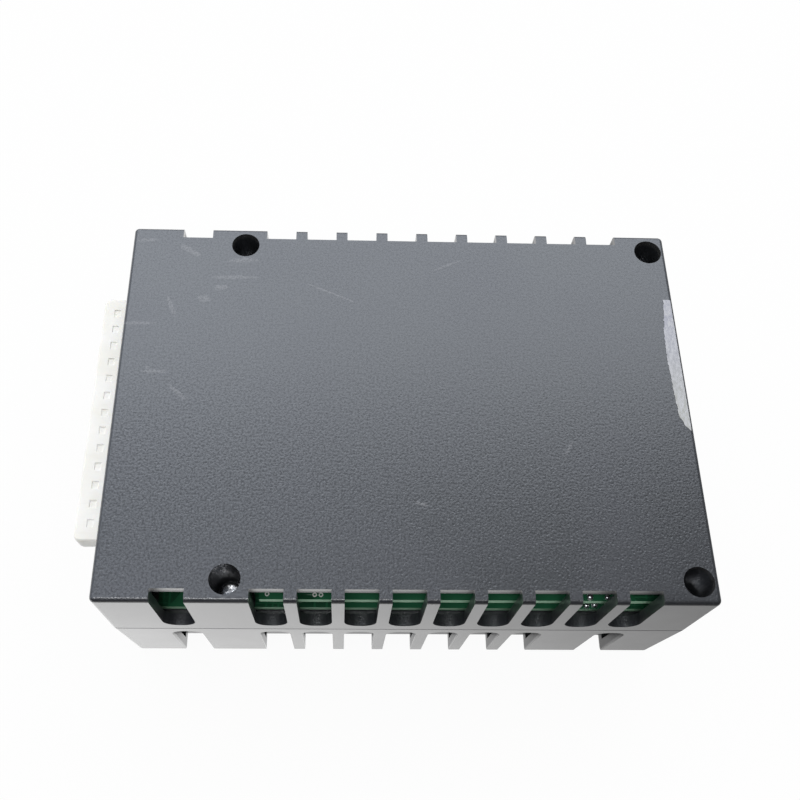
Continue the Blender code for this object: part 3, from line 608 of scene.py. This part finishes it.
# Its torn edge as (y, x) points, and its outer edge's x. Past LABEL_FLAT_END it bends down over the
# case's corner.
LABEL_EDGE = [(-5.6, 55.9), (-4.7, 55.0), (-2.8, 54.1), (1.0, 53.8), (9.8, 53.5), (15.5, 53.7), (22.9, 54.6)]
LABEL_OUTER = 55.95
LABEL_FLAT_END = 55.5
LABEL_CORNER = 1.0
LABEL_LIFT = 0.004
LABEL_THICKNESS = 0.07
LABEL_FRAY = 0.10
LABEL_NARROWEST = 0.02
LABEL_GRID = (96, 8)
LABEL_SEED = 4


def between(points, value):
    """The height of a line through (place, height) points at a place."""
    for (low, first), (high, second) in zip(points, points[1:]):
        if value <= high:
            return first + (second - first) * (value - low) / (high - low)
    return points[-1][1]


def build_label_residue():
    """A sliver of torn label backing along the right edge of the top face."""
    rows, columns = LABEL_GRID
    start, end = LABEL_EDGE[0][0], LABEL_EDGE[-1][0]
    random.seed(LABEL_SEED)
    frayed = [random.uniform(-LABEL_FRAY, LABEL_FRAY) for _ in range(rows + 1)]
    bm = bmesh.new()
    levels = []
    for lift in (LABEL_LIFT, LABEL_THICKNESS):
        grid = []
        for row in range(rows + 1):
            y = start + (end - start) * row / rows
            inner = min(between(LABEL_EDGE, y) + frayed[row], LABEL_OUTER - LABEL_NARROWEST)
            line = []
            for column in range(columns + 1):
                x = inner + (LABEL_OUTER - inner) * column / columns
                over = max(x - LABEL_FLAT_END, 0)
                drop = LABEL_CORNER - math.sqrt(LABEL_CORNER**2 - over**2)
                line.append(bm.verts.new((x * MM, y * MM, TOP_Z + (lift - drop) * MM)))
            grid.append(line)
        levels.append(grid)
    lower, upper = levels
    for row in range(rows):
        for column in range(columns):
            for grid in levels:
                near, far = grid[row], grid[row + 1]
                bm.faces.new((near[column], near[column + 1], far[column + 1], far[column]))
    rim = [(0, column) for column in range(columns)] + [(row, columns) for row in range(rows)]
    rim += [(rows, column) for column in range(columns, 0, -1)] + [(row, 0) for row in range(rows, 0, -1)]
    for (row, column), (next_row, next_column) in zip(rim, rim[1:] + rim[:1]):
        below = lower[row][column], lower[next_row][next_column]
        bm.faces.new((*below, upper[next_row][next_column], upper[row][column]))
    piece("label_residue", bm, "paper", smooth_angle=40)


# Leads ----------------------------------------

LEAD_THICKNESS = 0.15
LEAD_LIFT = 0.02
LEAD_ROOT = 0.15
LEAD_BEND = 0.1
# Where a lead starts and stops falling and starts to lie flat, in shares of its reach
LEAD_BENDS = (0.28, 0.42, 0.50, 0.62)
ALL_ROUND = (0, 90, 180, 270)
LEFT_RIGHT = (0, 180)
FRONT_BACK = (90, 270)
FRONT = (270,)

# What a lead row needs: the board face it stands on, the sides it leaves from in degrees from +X,
# the leads to a side, and their pitch, width and reach in millimetres
LEAD_ROWS = {
    "microcontroller": (CONTROL_TOP, ALL_ROUND, 11, 0.80, 0.36, 1.15),
    **{name: (CONTROL_TOP, LEFT_RIGHT, 2, 2.54, 0.55, 1.30) for name in OPTOCOUPLERS},
    "motor_driver_chip": (POWER_UNDER, FRONT_BACK, 15, 1.27, 0.42, 1.40),
    "voltage_regulator": (POWER_UNDER, FRONT, 5, 1.70, 0.80, 2.60),
}
LOGIC_LEADS = (CONTROL_TOP, LEFT_RIGHT, 4, 1.27, 0.42, 1.05)

# Small logic chips on the control board: the middle of each, their size, and their round mark, a
# (radius, height) profile that stands off the middle of the top
LOGIC_CHIPS = [(32.0, 13.5), (32.0, -4.5), (2.2, -24.6)]
LOGIC_SIZE = (4.0, 5.0, 1.45)
LOGIC_LIFT = 0.15
LOGIC_EDGE = 0.18
LOGIC_MARK = [(0, -0.10), (0.32, -0.10), (0.30, 0.02), (0.22, 0.012), (0, 0)]
LOGIC_MARK_PLACE = (-1.3, 1.8)


def lead_row(bm, low, high, board_z, sides, count, pitch, width, reach):
    """Bent leads from a body's sides to the face of its board, which may be above or below it."""
    middle, half = (low + high) / 2, (high - low) / 2
    rise = abs(middle.z - board_z)
    foot = (LEAD_THICKNESS / 2 + LEAD_LIFT) * MM
    bend = LEAD_BEND * MM
    bends = [share * reach * MM for share in LEAD_BENDS]
    path = [(-LEAD_ROOT * MM, rise), *zip(bends, (rise, rise - bend, foot + bend, foot)), (reach * MM, foot)]
    for angle in sides:
        out = half.x if angle % 180 == 0 else half.y
        for index in range(count):
            place = facing(middle.x, middle.y, board_z, math.radians(angle))
            place = place @ Matrix.Translation((out, (index - (count - 1) / 2) * pitch * MM, 0))
            if middle.z < board_z:
                place = place @ UPSIDE_DOWN
            strip(bm, path, width * MM, LEAD_THICKNESS * MM, place)


def build_leads():
    for name, row in LEAD_ROWS.items():
        bm = bmesh.new()
        lead_row(bm, *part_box(name), *row)
        piece(name + "_leads", bm, "tin")


def build_logic_chips():
    """Small moulded chips with their leads and a round mark by the first lead."""
    size = Vector(LOGIC_SIZE) * MM
    for index, (x, y) in enumerate(LOGIC_CHIPS):
        middle = Vector((x * MM, y * MM, CONTROL_TOP + LOGIC_LIFT * MM + size.z / 2))
        bm = bmesh.new()
        block(bm, middle, size, LOGIC_EDGE * MM)
        mark_x, mark_y = LOGIC_MARK_PLACE
        mark = middle + Vector((mark_x * MM, mark_y * MM, size.z / 2))
        turned(bm, scaled(LOGIC_MARK, MM, MM), Matrix.Translation(mark))
        piece(f"logic_chip_{index + 1}", bm, "resin")
        bm = bmesh.new()
        lead_row(bm, middle - size / 2, middle + size / 2, *LOGIC_LEADS)
        piece(f"logic_chip_{index + 1}_leads", bm, "tin")


# Solder ----------------------------------------

# Profiles in shares of the radius and the height: round a pin's end, and a drop
CONE_PROFILE = [(0, 0), (1, 0), (0.96, 0.10), (0.62, 0.34), (0.42, 0.66), (0.34, 0.92), (0.18, 1), (0, 1)]
DROP_PROFILE = [(0, 0), (1, 0), (1.04, 0.14), (0.90, 0.46), (0.58, 0.72), (0.24, 0.84), (0, 0.86)]
CONE_SIDES = 14
DROP_SIDES = 16

# Radius and height of the joints, and where their pins are, in millimetres
LINK_JOINT = (0.85, 1.0)
LINK_PINS = (10, 2)
LINK_PITCH = 2.54
HEADER_JOINT = (1.0, 0.75)
HEADER_JOINT_INSET = 0.5
CAPACITOR_JOINT = (1.3, 1.1)
CAPACITOR_PITCH = 7.5

# Drops at the front edge of the boards, seen through the ninth vent: x, y, radius, board face
EDGE_DROPS = [
    (36.5, -34.70, 0.66, CONTROL_TOP),
    (39.65, -34.80, 0.56, CONTROL_TOP),
    (37.35, -34.80, 0.62, POWER_TOP),
    (38.9, -34.65, 0.66, POWER_TOP),
]


def solder_cone(bm, x, y, board_z, radius, height):
    """A solder fillet that climbs a pin's end."""
    profile = scaled(CONE_PROFILE, radius * MM, height * MM)
    turned(bm, profile, Matrix.Translation((x, y, board_z)), CONE_SIDES)


def solder_drop(bm, x, y, board_z, radius):
    profile = scaled(DROP_PROFILE, radius * MM, radius * MM)
    turned(bm, profile, Matrix.Translation((x, y, board_z)), DROP_SIDES)


def edge_drops(bm, face):
    for x, y, radius, board_z in EDGE_DROPS:
        if board_z == face:
            solder_drop(bm, x * MM, y * MM, board_z, radius)


def build_solder():
    """Joints of the pins that come through the boards, and the drops at their front edge."""
    bm = bmesh.new()
    middle = node_middle("board_link")
    columns, rows = LINK_PINS
    for column in range(columns):
        for row in range(rows):
            x = middle.x + (column - (columns - 1) / 2) * LINK_PITCH * MM
            y = middle.y + (row - (rows - 1) / 2) * LINK_PITCH * MM
            solder_cone(bm, x, y, CONTROL_TOP, *LINK_JOINT)
    edge_drops(bm, CONTROL_TOP)
    piece("control_board_solder", bm, "solder", smooth_angle=60)
    bm = bmesh.new()
    for index in range(HEADER_PINS):
        low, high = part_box(f"header_pin_{index + 1:02d}")
        solder_cone(bm, high.x - HEADER_JOINT_INSET * MM, (low.y + high.y) / 2, POWER_TOP, *HEADER_JOINT)
    for name in CAPACITORS:
        middle = node_middle(name)
        for side in (-1, 1):
            x = middle.x + side * CAPACITOR_PITCH / 2 * MM
            solder_cone(bm, x, middle.y, POWER_TOP, *CAPACITOR_JOINT)
    edge_drops(bm, POWER_TOP)
    piece("power_board_solder", bm, "solder", smooth_angle=60)


# Print and pads ----------------------------------------

# What has an outline round it, the outline's margin and width, and the ring marks' radii and height
OUTLINED = ["microcontroller", *OPTOCOUPLERS, "crystal"]
OUTLINE_MARGIN = 1.5
OUTLINE_WIDTH = 0.18
MARK_RADII = (0.20, 0.42)
MARK_SIDES = 12
PRINT_HEIGHT = 0.03

# Ring marks printed near the front edge, where the vents show the board: x, y
FRONT_MARKS = [(-20.9, -34.5), (-12.5, -34.6), (-11.4, -34.6), (-0.6, -34.7), (8.4, -34.9)]

# Rings under the board screws' heads: inner and outer radius, and height
PAD_RADII = (2.2, 3.3)
PAD_HEIGHT = 0.04
PAD_SIDES = 40
SEAM_JOIN = 1e-7


def ring(bm, x, y, radii, height, sides):
    """A flat ring on the control board's top."""
    inner, outer = radii
    shape = [(inner, 0), (outer, 0), (outer, height), (inner, height), (inner, 0)]
    turned(bm, scaled(shape, MM, MM), Matrix.Translation((x, y, CONTROL_TOP)), sides)


def outline(bm, low, high):
    """A printed outline of four strokes around a part."""
    x0, x1 = low.x - OUTLINE_MARGIN * MM, high.x + OUTLINE_MARGIN * MM
    y0, y1 = low.y - OUTLINE_MARGIN * MM, high.y + OUTLINE_MARGIN * MM
    width, height = OUTLINE_WIDTH * MM, PRINT_HEIGHT * MM
    for x, y, size in (
        ((x0 + x1) / 2, y0, (x1 - x0, width)),
        ((x0 + x1) / 2, y1, (x1 - x0, width)),
        (x0, (y0 + y1) / 2, (width, y1 - y0)),
        (x1, (y0 + y1) / 2, (width, y1 - y0)),
    ):
        block(bm, (x, y, CONTROL_TOP + height / 2), (*size, height), height / 3)


def build_print():
    """Plain printed marks on the control board: outlines and rings, with no letters."""
    bm = bmesh.new()
    for name in OUTLINED:
        outline(bm, *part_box(name))
    for x, y in FRONT_MARKS:
        ring(bm, x * MM, y * MM, MARK_RADII, PRINT_HEIGHT, MARK_SIDES)
    bmesh.ops.remove_doubles(bm, verts=bm.verts, dist=SEAM_JOIN)
    piece("control_board_print", bm, "print")


def build_screw_pads():
    """Tinned rings on the control board under the heads of its screws."""
    bm = bmesh.new()
    for name in numbered("board_screw", BOARD_SCREWS):
        middle = node_middle(name)
        ring(bm, middle.x, middle.y, PAD_RADII, PAD_HEIGHT, PAD_SIDES)
    bmesh.ops.remove_doubles(bm, verts=bm.verts, dist=SEAM_JOIN)
    piece("board_screw_pads", bm, "tin")


# Metal parts of the components ----------------------------------------

# Parts with metal ends: the ends' length, and how far they stand proud
CAPPED_PARTS = {"input_fuse": (2.2, 0.10), **{name: (1.1, 0.05) for name in SENSE_RESISTORS}}
CAP_EDGE = 0.12

# The coil's terminals: (out, up) points from the board's face, width and thickness
TERMINAL_PATH = [(0.06, 3.4), (0.14, 3.2), (0.14, 0.3), (0.4, 0.1), (1.4, 0.1)]
TERMINAL_WIDTH = 3.0
TERMINAL_THICKNESS = 0.2

# The regulator's tab: depth, thickness, how far its middle is out from the back and below the top
TAB_DEPTH, TAB_THICKNESS = 1.5, 1.27
TAB_OUT, TAB_DOWN = 0.7, 0.55
TAB_EDGE = 0.15

# The crystal's flange: how much wider it is than the can, its thickness, lift and edge
FLANGE_GROW = 0.5
FLANGE_THICKNESS = 0.45
FLANGE_LIFT = 0.02
FLANGE_EDGE = 0.2

# A capacitor's vent: radius, shift of each quarter, thickness, inset, and the inner face's share in size
VENT_RADIUS = 6.6
VENT_SHIFT = 0.28
VENT_THICKNESS = 0.17
VENT_INSET = 0.05
VENT_TAPER = 0.985
VENT_STEPS = 8

# The selector switch's legs: pitch, size, edge, inset from its sides, and the radius of their joints
LEG_PITCH = 2.54
LEG_SIZE = (0.30, 0.6, 0.5)
LEG_EDGE = 0.05
LEG_INSET = 0.5
LEG_JOINT = 0.55


def build_end_caps():
    """Metal ends of the fuse and the current-sensing resistors."""
    for name, (length, grow) in CAPPED_PARTS.items():
        low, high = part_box(name)
        middle = (low + high) / 2
        length, grow = length * MM, grow * MM
        size = (length, high.y - low.y + 2 * grow, high.z - low.z + 2 * grow)
        bm = bmesh.new()
        for x in (low.x + length / 2 - grow, high.x - length / 2 + grow):
            block(bm, (x, middle.y, middle.z), size, CAP_EDGE * MM)
        piece(name + "_ends", bm, "tin")


def build_inductor_terminals():
    low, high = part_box("power_inductor")
    bm = bmesh.new()
    for x, angle in ((low.x, math.pi), (high.x, 0)):
        place = facing(x, (low.y + high.y) / 2, POWER_UNDER, angle) @ UPSIDE_DOWN
        strip(bm, scaled(TERMINAL_PATH, MM, MM), TERMINAL_WIDTH * MM, TERMINAL_THICKNESS * MM, place)
    piece("power_inductor_terminals", bm, "tin")


def build_regulator_tab():
    low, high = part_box("voltage_regulator")
    bm = bmesh.new()
    place = ((low.x + high.x) / 2, high.y + TAB_OUT * MM, high.z - TAB_DOWN * MM)
    block(bm, place, (high.x - low.x, TAB_DEPTH * MM, TAB_THICKNESS * MM), TAB_EDGE * MM)
    piece("voltage_regulator_tab", bm, "tin")


def build_crystal_flange():
    low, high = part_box("crystal")
    middle = (low + high) / 2
    grow = FLANGE_GROW * MM
    bm = bmesh.new()
    size = (high.x - low.x + grow, high.y - low.y + grow, FLANGE_THICKNESS * MM)
    block(bm, (middle.x, middle.y, low.z + FLANGE_LIFT * MM), size, FLANGE_EDGE * MM)
    piece("crystal_flange", bm, "nickel")


def unit(angle):
    return Vector((math.cos(angle), math.sin(angle), 0))


def build_capacitor_vents():
    """The bare can end inside the sleeve's rim, in four quarters parted by the vent's scored cross."""
    for name in CAPACITORS:
        low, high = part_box(name)
        middle = Vector(((low.x + high.x) / 2, (low.y + high.y) / 2, low.z + VENT_INSET * MM))
        bm = bmesh.new()
        for quarter in range(4):
            start = quarter * math.pi / 2
            centre = middle + unit(start + math.pi / 4) * VENT_SHIFT * MM
            angles = [start + step * math.pi / 2 / VENT_STEPS for step in range(VENT_STEPS + 1)]
            shape = [Vector((0, 0, 0))] + [unit(angle) * VENT_RADIUS * MM for angle in angles]
            down = Vector((0, 0, VENT_THICKNESS * MM))
            upper = [bm.verts.new(centre + point) for point in shape]
            lower = [bm.verts.new(centre + point * VENT_TAPER - down) for point in shape]
            bm.faces.new(upper)
            bm.faces.new(list(reversed(lower)))
            for step in range(len(shape)):
                after = (step + 1) % len(shape)
                bm.faces.new((upper[step], upper[after], lower[after], lower[step]))
        piece(name + "_vent", bm, "aluminium")


def build_switch_legs():
    """Short legs under the selector switch, two to a way."""
    low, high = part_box("selector_switch")
    bm = bmesh.new()
    for index in range(SLIDERS):
        y = (low.y + high.y) / 2 + (index - (SLIDERS - 1) / 2) * LEG_PITCH * MM
        for x in (low.x + LEG_INSET * MM, high.x - LEG_INSET * MM):
            block(bm, (x, y, (low.z + CONTROL_TOP) / 2), Vector(LEG_SIZE) * MM, LEG_EDGE * MM)
            solder_drop(bm, x, y, CONTROL_TOP, LEG_JOINT)
    piece("selector_switch_legs", bm, "solder", smooth_angle=50)


# Small ceramic parts ----------------------------------------

# Size and rounding of the body and of its ends, how far the ends are from the middle, and its height
PASSIVE_SIZE = (1.40, 0.80, 0.60)
PASSIVE_EDGE = 0.06
END_SIZE = (0.42, 0.86, 0.66)
END_EDGE = 0.08
END_OUT = 0.80
PASSIVE_HEIGHT = 0.34

# How many there are on each board, and the seed of their places
CONTROL_PASSIVES = (44, 11)
POWER_PASSIVES = (30, 23)

# Where they may go: on a grid, off the board's edges, and clear of other parts by a gap
SPOT_GRID = 0.635
SPOT_TRIES = 4000
SPOT_MARGINS = (3, 6)
SPOT_REACH = 1.2
SPOT_GAP = 1.4
PART_MARGIN = 1.5
HEADER_MARGIN = 3
LOGIC_REACH = (4, 4)
CAPACITOR_JOINTS_REACH = (5.5, 2)


def area_round(x, y, reach_x, reach_y):
    return (x - reach_x, x + reach_x, y - reach_y, y + reach_y)


def free_spots(count, low, high, taken, seed):
    """Places on a board clear of the (x0, x1, y0, y1) areas taken, in millimetres."""
    random.seed(seed)
    side, end = SPOT_MARGINS
    spots = []
    for _ in range(SPOT_TRIES):
        if len(spots) == count:
            break
        x = round(random.uniform(low.x / MM + side, high.x / MM - side) / SPOT_GRID) * SPOT_GRID
        y = round(random.uniform(low.y / MM + end, high.y / MM - end) / SPOT_GRID) * SPOT_GRID
        gaps = [max(x0 - x, x - x1, y0 - y, y - y1) for x0, x1, y0, y1 in taken]
        if min(gaps) > SPOT_GAP:
            spots.append((x, y, random.choice((0, math.pi / 2))))
            taken = taken + [area_round(x, y, SPOT_REACH, SPOT_REACH)]
    return spots


def footprint(name, margin=PART_MARGIN):
    low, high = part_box(name)
    return (low.x / MM - margin, high.x / MM + margin, low.y / MM - margin, high.y / MM + margin)


def taken_on_control_board():
    names = ["microcontroller", "crystal", "selector_switch", "board_link"]
    names += OPTOCOUPLERS + numbered("board_screw", BOARD_SCREWS)
    return [footprint(name) for name in names] + [area_round(x, y, *LOGIC_REACH) for x, y in LOGIC_CHIPS]


def taken_on_power_board():
    areas = [footprint(name) for name in ["board_link", *numbered("spacer", BOARD_SCREWS)]]
    areas.append(footprint("header_housing", HEADER_MARGIN))
    for name in CAPACITORS:
        middle = node_middle(name) / MM
        areas.append(area_round(middle.x, middle.y, *CAPACITOR_JOINTS_REACH))
    return areas


def build_passives():
    """Small ceramic parts with tinned ends, scattered over the free parts of both boards."""
    for name, (count, seed), taken in (
        ("control_board", CONTROL_PASSIVES, taken_on_control_board()),
        ("power_board", POWER_PASSIVES, taken_on_power_board()),
    ):
        low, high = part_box(name)
        bodies, ends = bmesh.new(), bmesh.new()
        for x, y, turn in free_spots(count, low, high, taken, seed):
            centre = Vector((x * MM, y * MM, high.z + PASSIVE_HEIGHT * MM))
            block(bodies, centre, Vector(PASSIVE_SIZE) * MM, PASSIVE_EDGE * MM, turn)
            for side in (-1, 1):
                place = centre + unit(turn) * side * END_OUT * MM
                block(ends, place, Vector(END_SIZE) * MM, END_EDGE * MM, turn)
        piece(name + "_passives", bodies, "tan")
        piece(name + "_passive_ends", ends, "tin")


# Camera, lights and floor ----------------------------------------

CAMERA_PLACE = (-0.007591, -0.073978, 0.17213)
CAMERA_TURN = (0.38353, -0.03023, -0.00243)
CAMERA_LENS = 37.361
CAMERA_SHIFT = (0.04077, 0.125)
CAMERA_CLIP = 0.01
WHITE = (1.0, 1.0, 1.0)

# The sky in reflections: its tint, its strength to the left and right and at the back, and the share
# of it that is left low in front
SKY_TINT = (0.78, 0.86, 1.0)
SKY_SIDES = (0.80, 0.05)
SKY_BACK = 0.72
FRONT_SHADE = 0.06
# The sky's light on matt surfaces, from the front and from the back
AMBIENT = (0.25, 1.62)

# The floor: its size, its matt colour, and how much of that a white glow covers in direct view and in
# reflections. There the glow's strength changes from left to right, and falls off in front.
FLOOR_SIZE = 6.0
FLOOR_SEGMENTS = 8
FLOOR_MATT = (0.72, 0.72, 0.72)
FLOOR_FILL = 0.95
FLOOR_ENDS = (-0.08, 0.10)
FLOOR_SIDES = (1.35, 0.36)
FLOOR_FRONT = (-0.10, -0.058)
FLOOR_FRONT_SHADE = 0.12

# Softboxes: place, size, power and colour
SOFTBOXES = {
    "back_softbox": ((0.02, 0.40, 0.50), (0.80, 0.40), 0.95, (0.88, 0.93, 1.0)),
    "front_softbox": ((-0.10, -0.24, 0.70), (0.40, 0.08), 1.1, WHITE),
}
SOFTBOX_AIM = (0, 0, 0.02)


def build_camera():
    camera = bpy.data.cameras.new("camera")
    camera.lens = CAMERA_LENS
    camera.shift_x, camera.shift_y = CAMERA_SHIFT
    camera.clip_start = CAMERA_CLIP
    obj = bpy.data.objects.new("camera", camera)
    obj.location = CAMERA_PLACE
    obj.rotation_euler = CAMERA_TURN
    bpy.context.scene.collection.objects.link(obj)
    bpy.context.scene.camera = obj


def background(tree, colour, strength):
    node = tree.nodes.new("ShaderNodeBackground")
    tree.feed(node.inputs["Color"], colour)
    tree.feed(node.inputs["Strength"], strength)
    return node.outputs[0]


def build_world():
    """A background white in direct view, a shaped sky in reflections, and a gradient on matt surfaces."""
    world = bpy.data.worlds.new("studio")
    world.use_nodes = True
    bpy.context.scene.world = world
    tree = Tree(world.node_tree)
    tree.nodes.remove(tree.nodes["Background"])
    across, along, up = tree.parts(tree.coordinates("Generated"))
    side = tree.range(across, -0.35, 0.45, *SKY_SIDES)
    back = tree.range(along, 0.20, 0.75, 0.0, SKY_BACK)
    clear = tree.math("MAXIMUM", tree.range(along, -0.60, -0.25), tree.range(up, 0.78, 0.95))
    shade = tree.range(clear, 0.0, 1.0, FRONT_SHADE, 1.0)
    sky = background(tree, SKY_TINT, tree.math("MULTIPLY", tree.math("MAXIMUM", side, back), shade))
    ambient = background(tree, WHITE, tree.range(along, -0.9, 0.9, *AMBIENT))
    path = tree.nodes.new("ShaderNodeLightPath").outputs
    direct = tree.math("MAXIMUM", path["Is Camera Ray"], path["Is Transmission Ray"])
    lighting = tree.mix_shaders(path["Is Glossy Ray"], ambient, sky)
    surface = tree.mix_shaders(direct, lighting, background(tree, WHITE, 1.0))
    tree.feed(tree.nodes["World Output"].inputs["Surface"], surface)


def floor_material():
    material = bpy.data.materials.new("floor_white")
    material.use_nodes = True
    tree = Tree(material.node_tree)
    tree.nodes.clear()
    path = tree.nodes.new("ShaderNodeLightPath").outputs
    camera = path["Is Camera Ray"]
    seen = tree.math("MAXIMUM", camera, path["Is Glossy Ray"])
    seen = tree.math("MAXIMUM", seen, path["Is Transmission Ray"])
    place = tree.parts(tree.coordinates("Object"))
    side = tree.range(place[0], *FLOOR_ENDS, *FLOOR_SIDES)
    near = tree.range(place[1], *FLOOR_FRONT, FLOOR_FRONT_SHADE, 1.0)
    indirect = tree.math("LESS_THAN", camera, 0.5)
    reflected = tree.math("MULTIPLY", tree.math("MULTIPLY", side, near), indirect)
    glow = tree.nodes.new("ShaderNodeEmission")
    tree.feed(glow.inputs["Strength"], tree.math("MAXIMUM", reflected, camera))
    matt = tree.nodes.new("ShaderNodeBsdfDiffuse")
    tree.feed(matt.inputs["Color"], FLOOR_MATT)
    surface = tree.mix_shaders(tree.math("MULTIPLY", seen, FLOOR_FILL), matt.outputs[0], glow.outputs[0])
    tree.feed(tree.nodes.new("ShaderNodeOutputMaterial").inputs["Surface"], surface)
    return material


def build_floor():
    """A white floor that keeps a part of the object's shadow."""
    bm = bmesh.new()
    bmesh.ops.create_grid(bm, x_segments=FLOOR_SEGMENTS, y_segments=FLOOR_SEGMENTS, size=FLOOR_SIZE / 2)
    mesh = bpy.data.meshes.new("floor")
    bm.to_mesh(mesh)
    bm.free()
    mesh.materials.append(floor_material())
    floor = bpy.data.objects.new("floor", mesh)
    bpy.context.scene.collection.objects.link(floor)


def build_lights():
    for name, (place, size, power, colour) in SOFTBOXES.items():
        light = bpy.data.lights.new(name, "AREA")
        light.shape = "RECTANGLE"
        light.size, light.size_y = size
        light.energy = power
        light.color = colour
        obj = bpy.data.objects.new(name, light)
        obj.location = place
        obj.rotation_euler = (Vector(SOFTBOX_AIM) - Vector(place)).to_track_quat("-Z", "Y").to_euler()
        obj.visible_camera = False
        bpy.context.scene.collection.objects.link(obj)


paint_nodes()
soften_nodes()
build_label_residue()
build_leads()
build_logic_chips()
build_solder()
build_print()
build_screw_pads()
build_end_caps()
build_inductor_terminals()
build_regulator_tab()
build_crystal_flange()
build_capacitor_vents()
build_switch_legs()
build_passives()
build_camera()
build_world()
build_floor()
build_lights()
bpy.context.scene.view_settings.view_transform = "Standard"
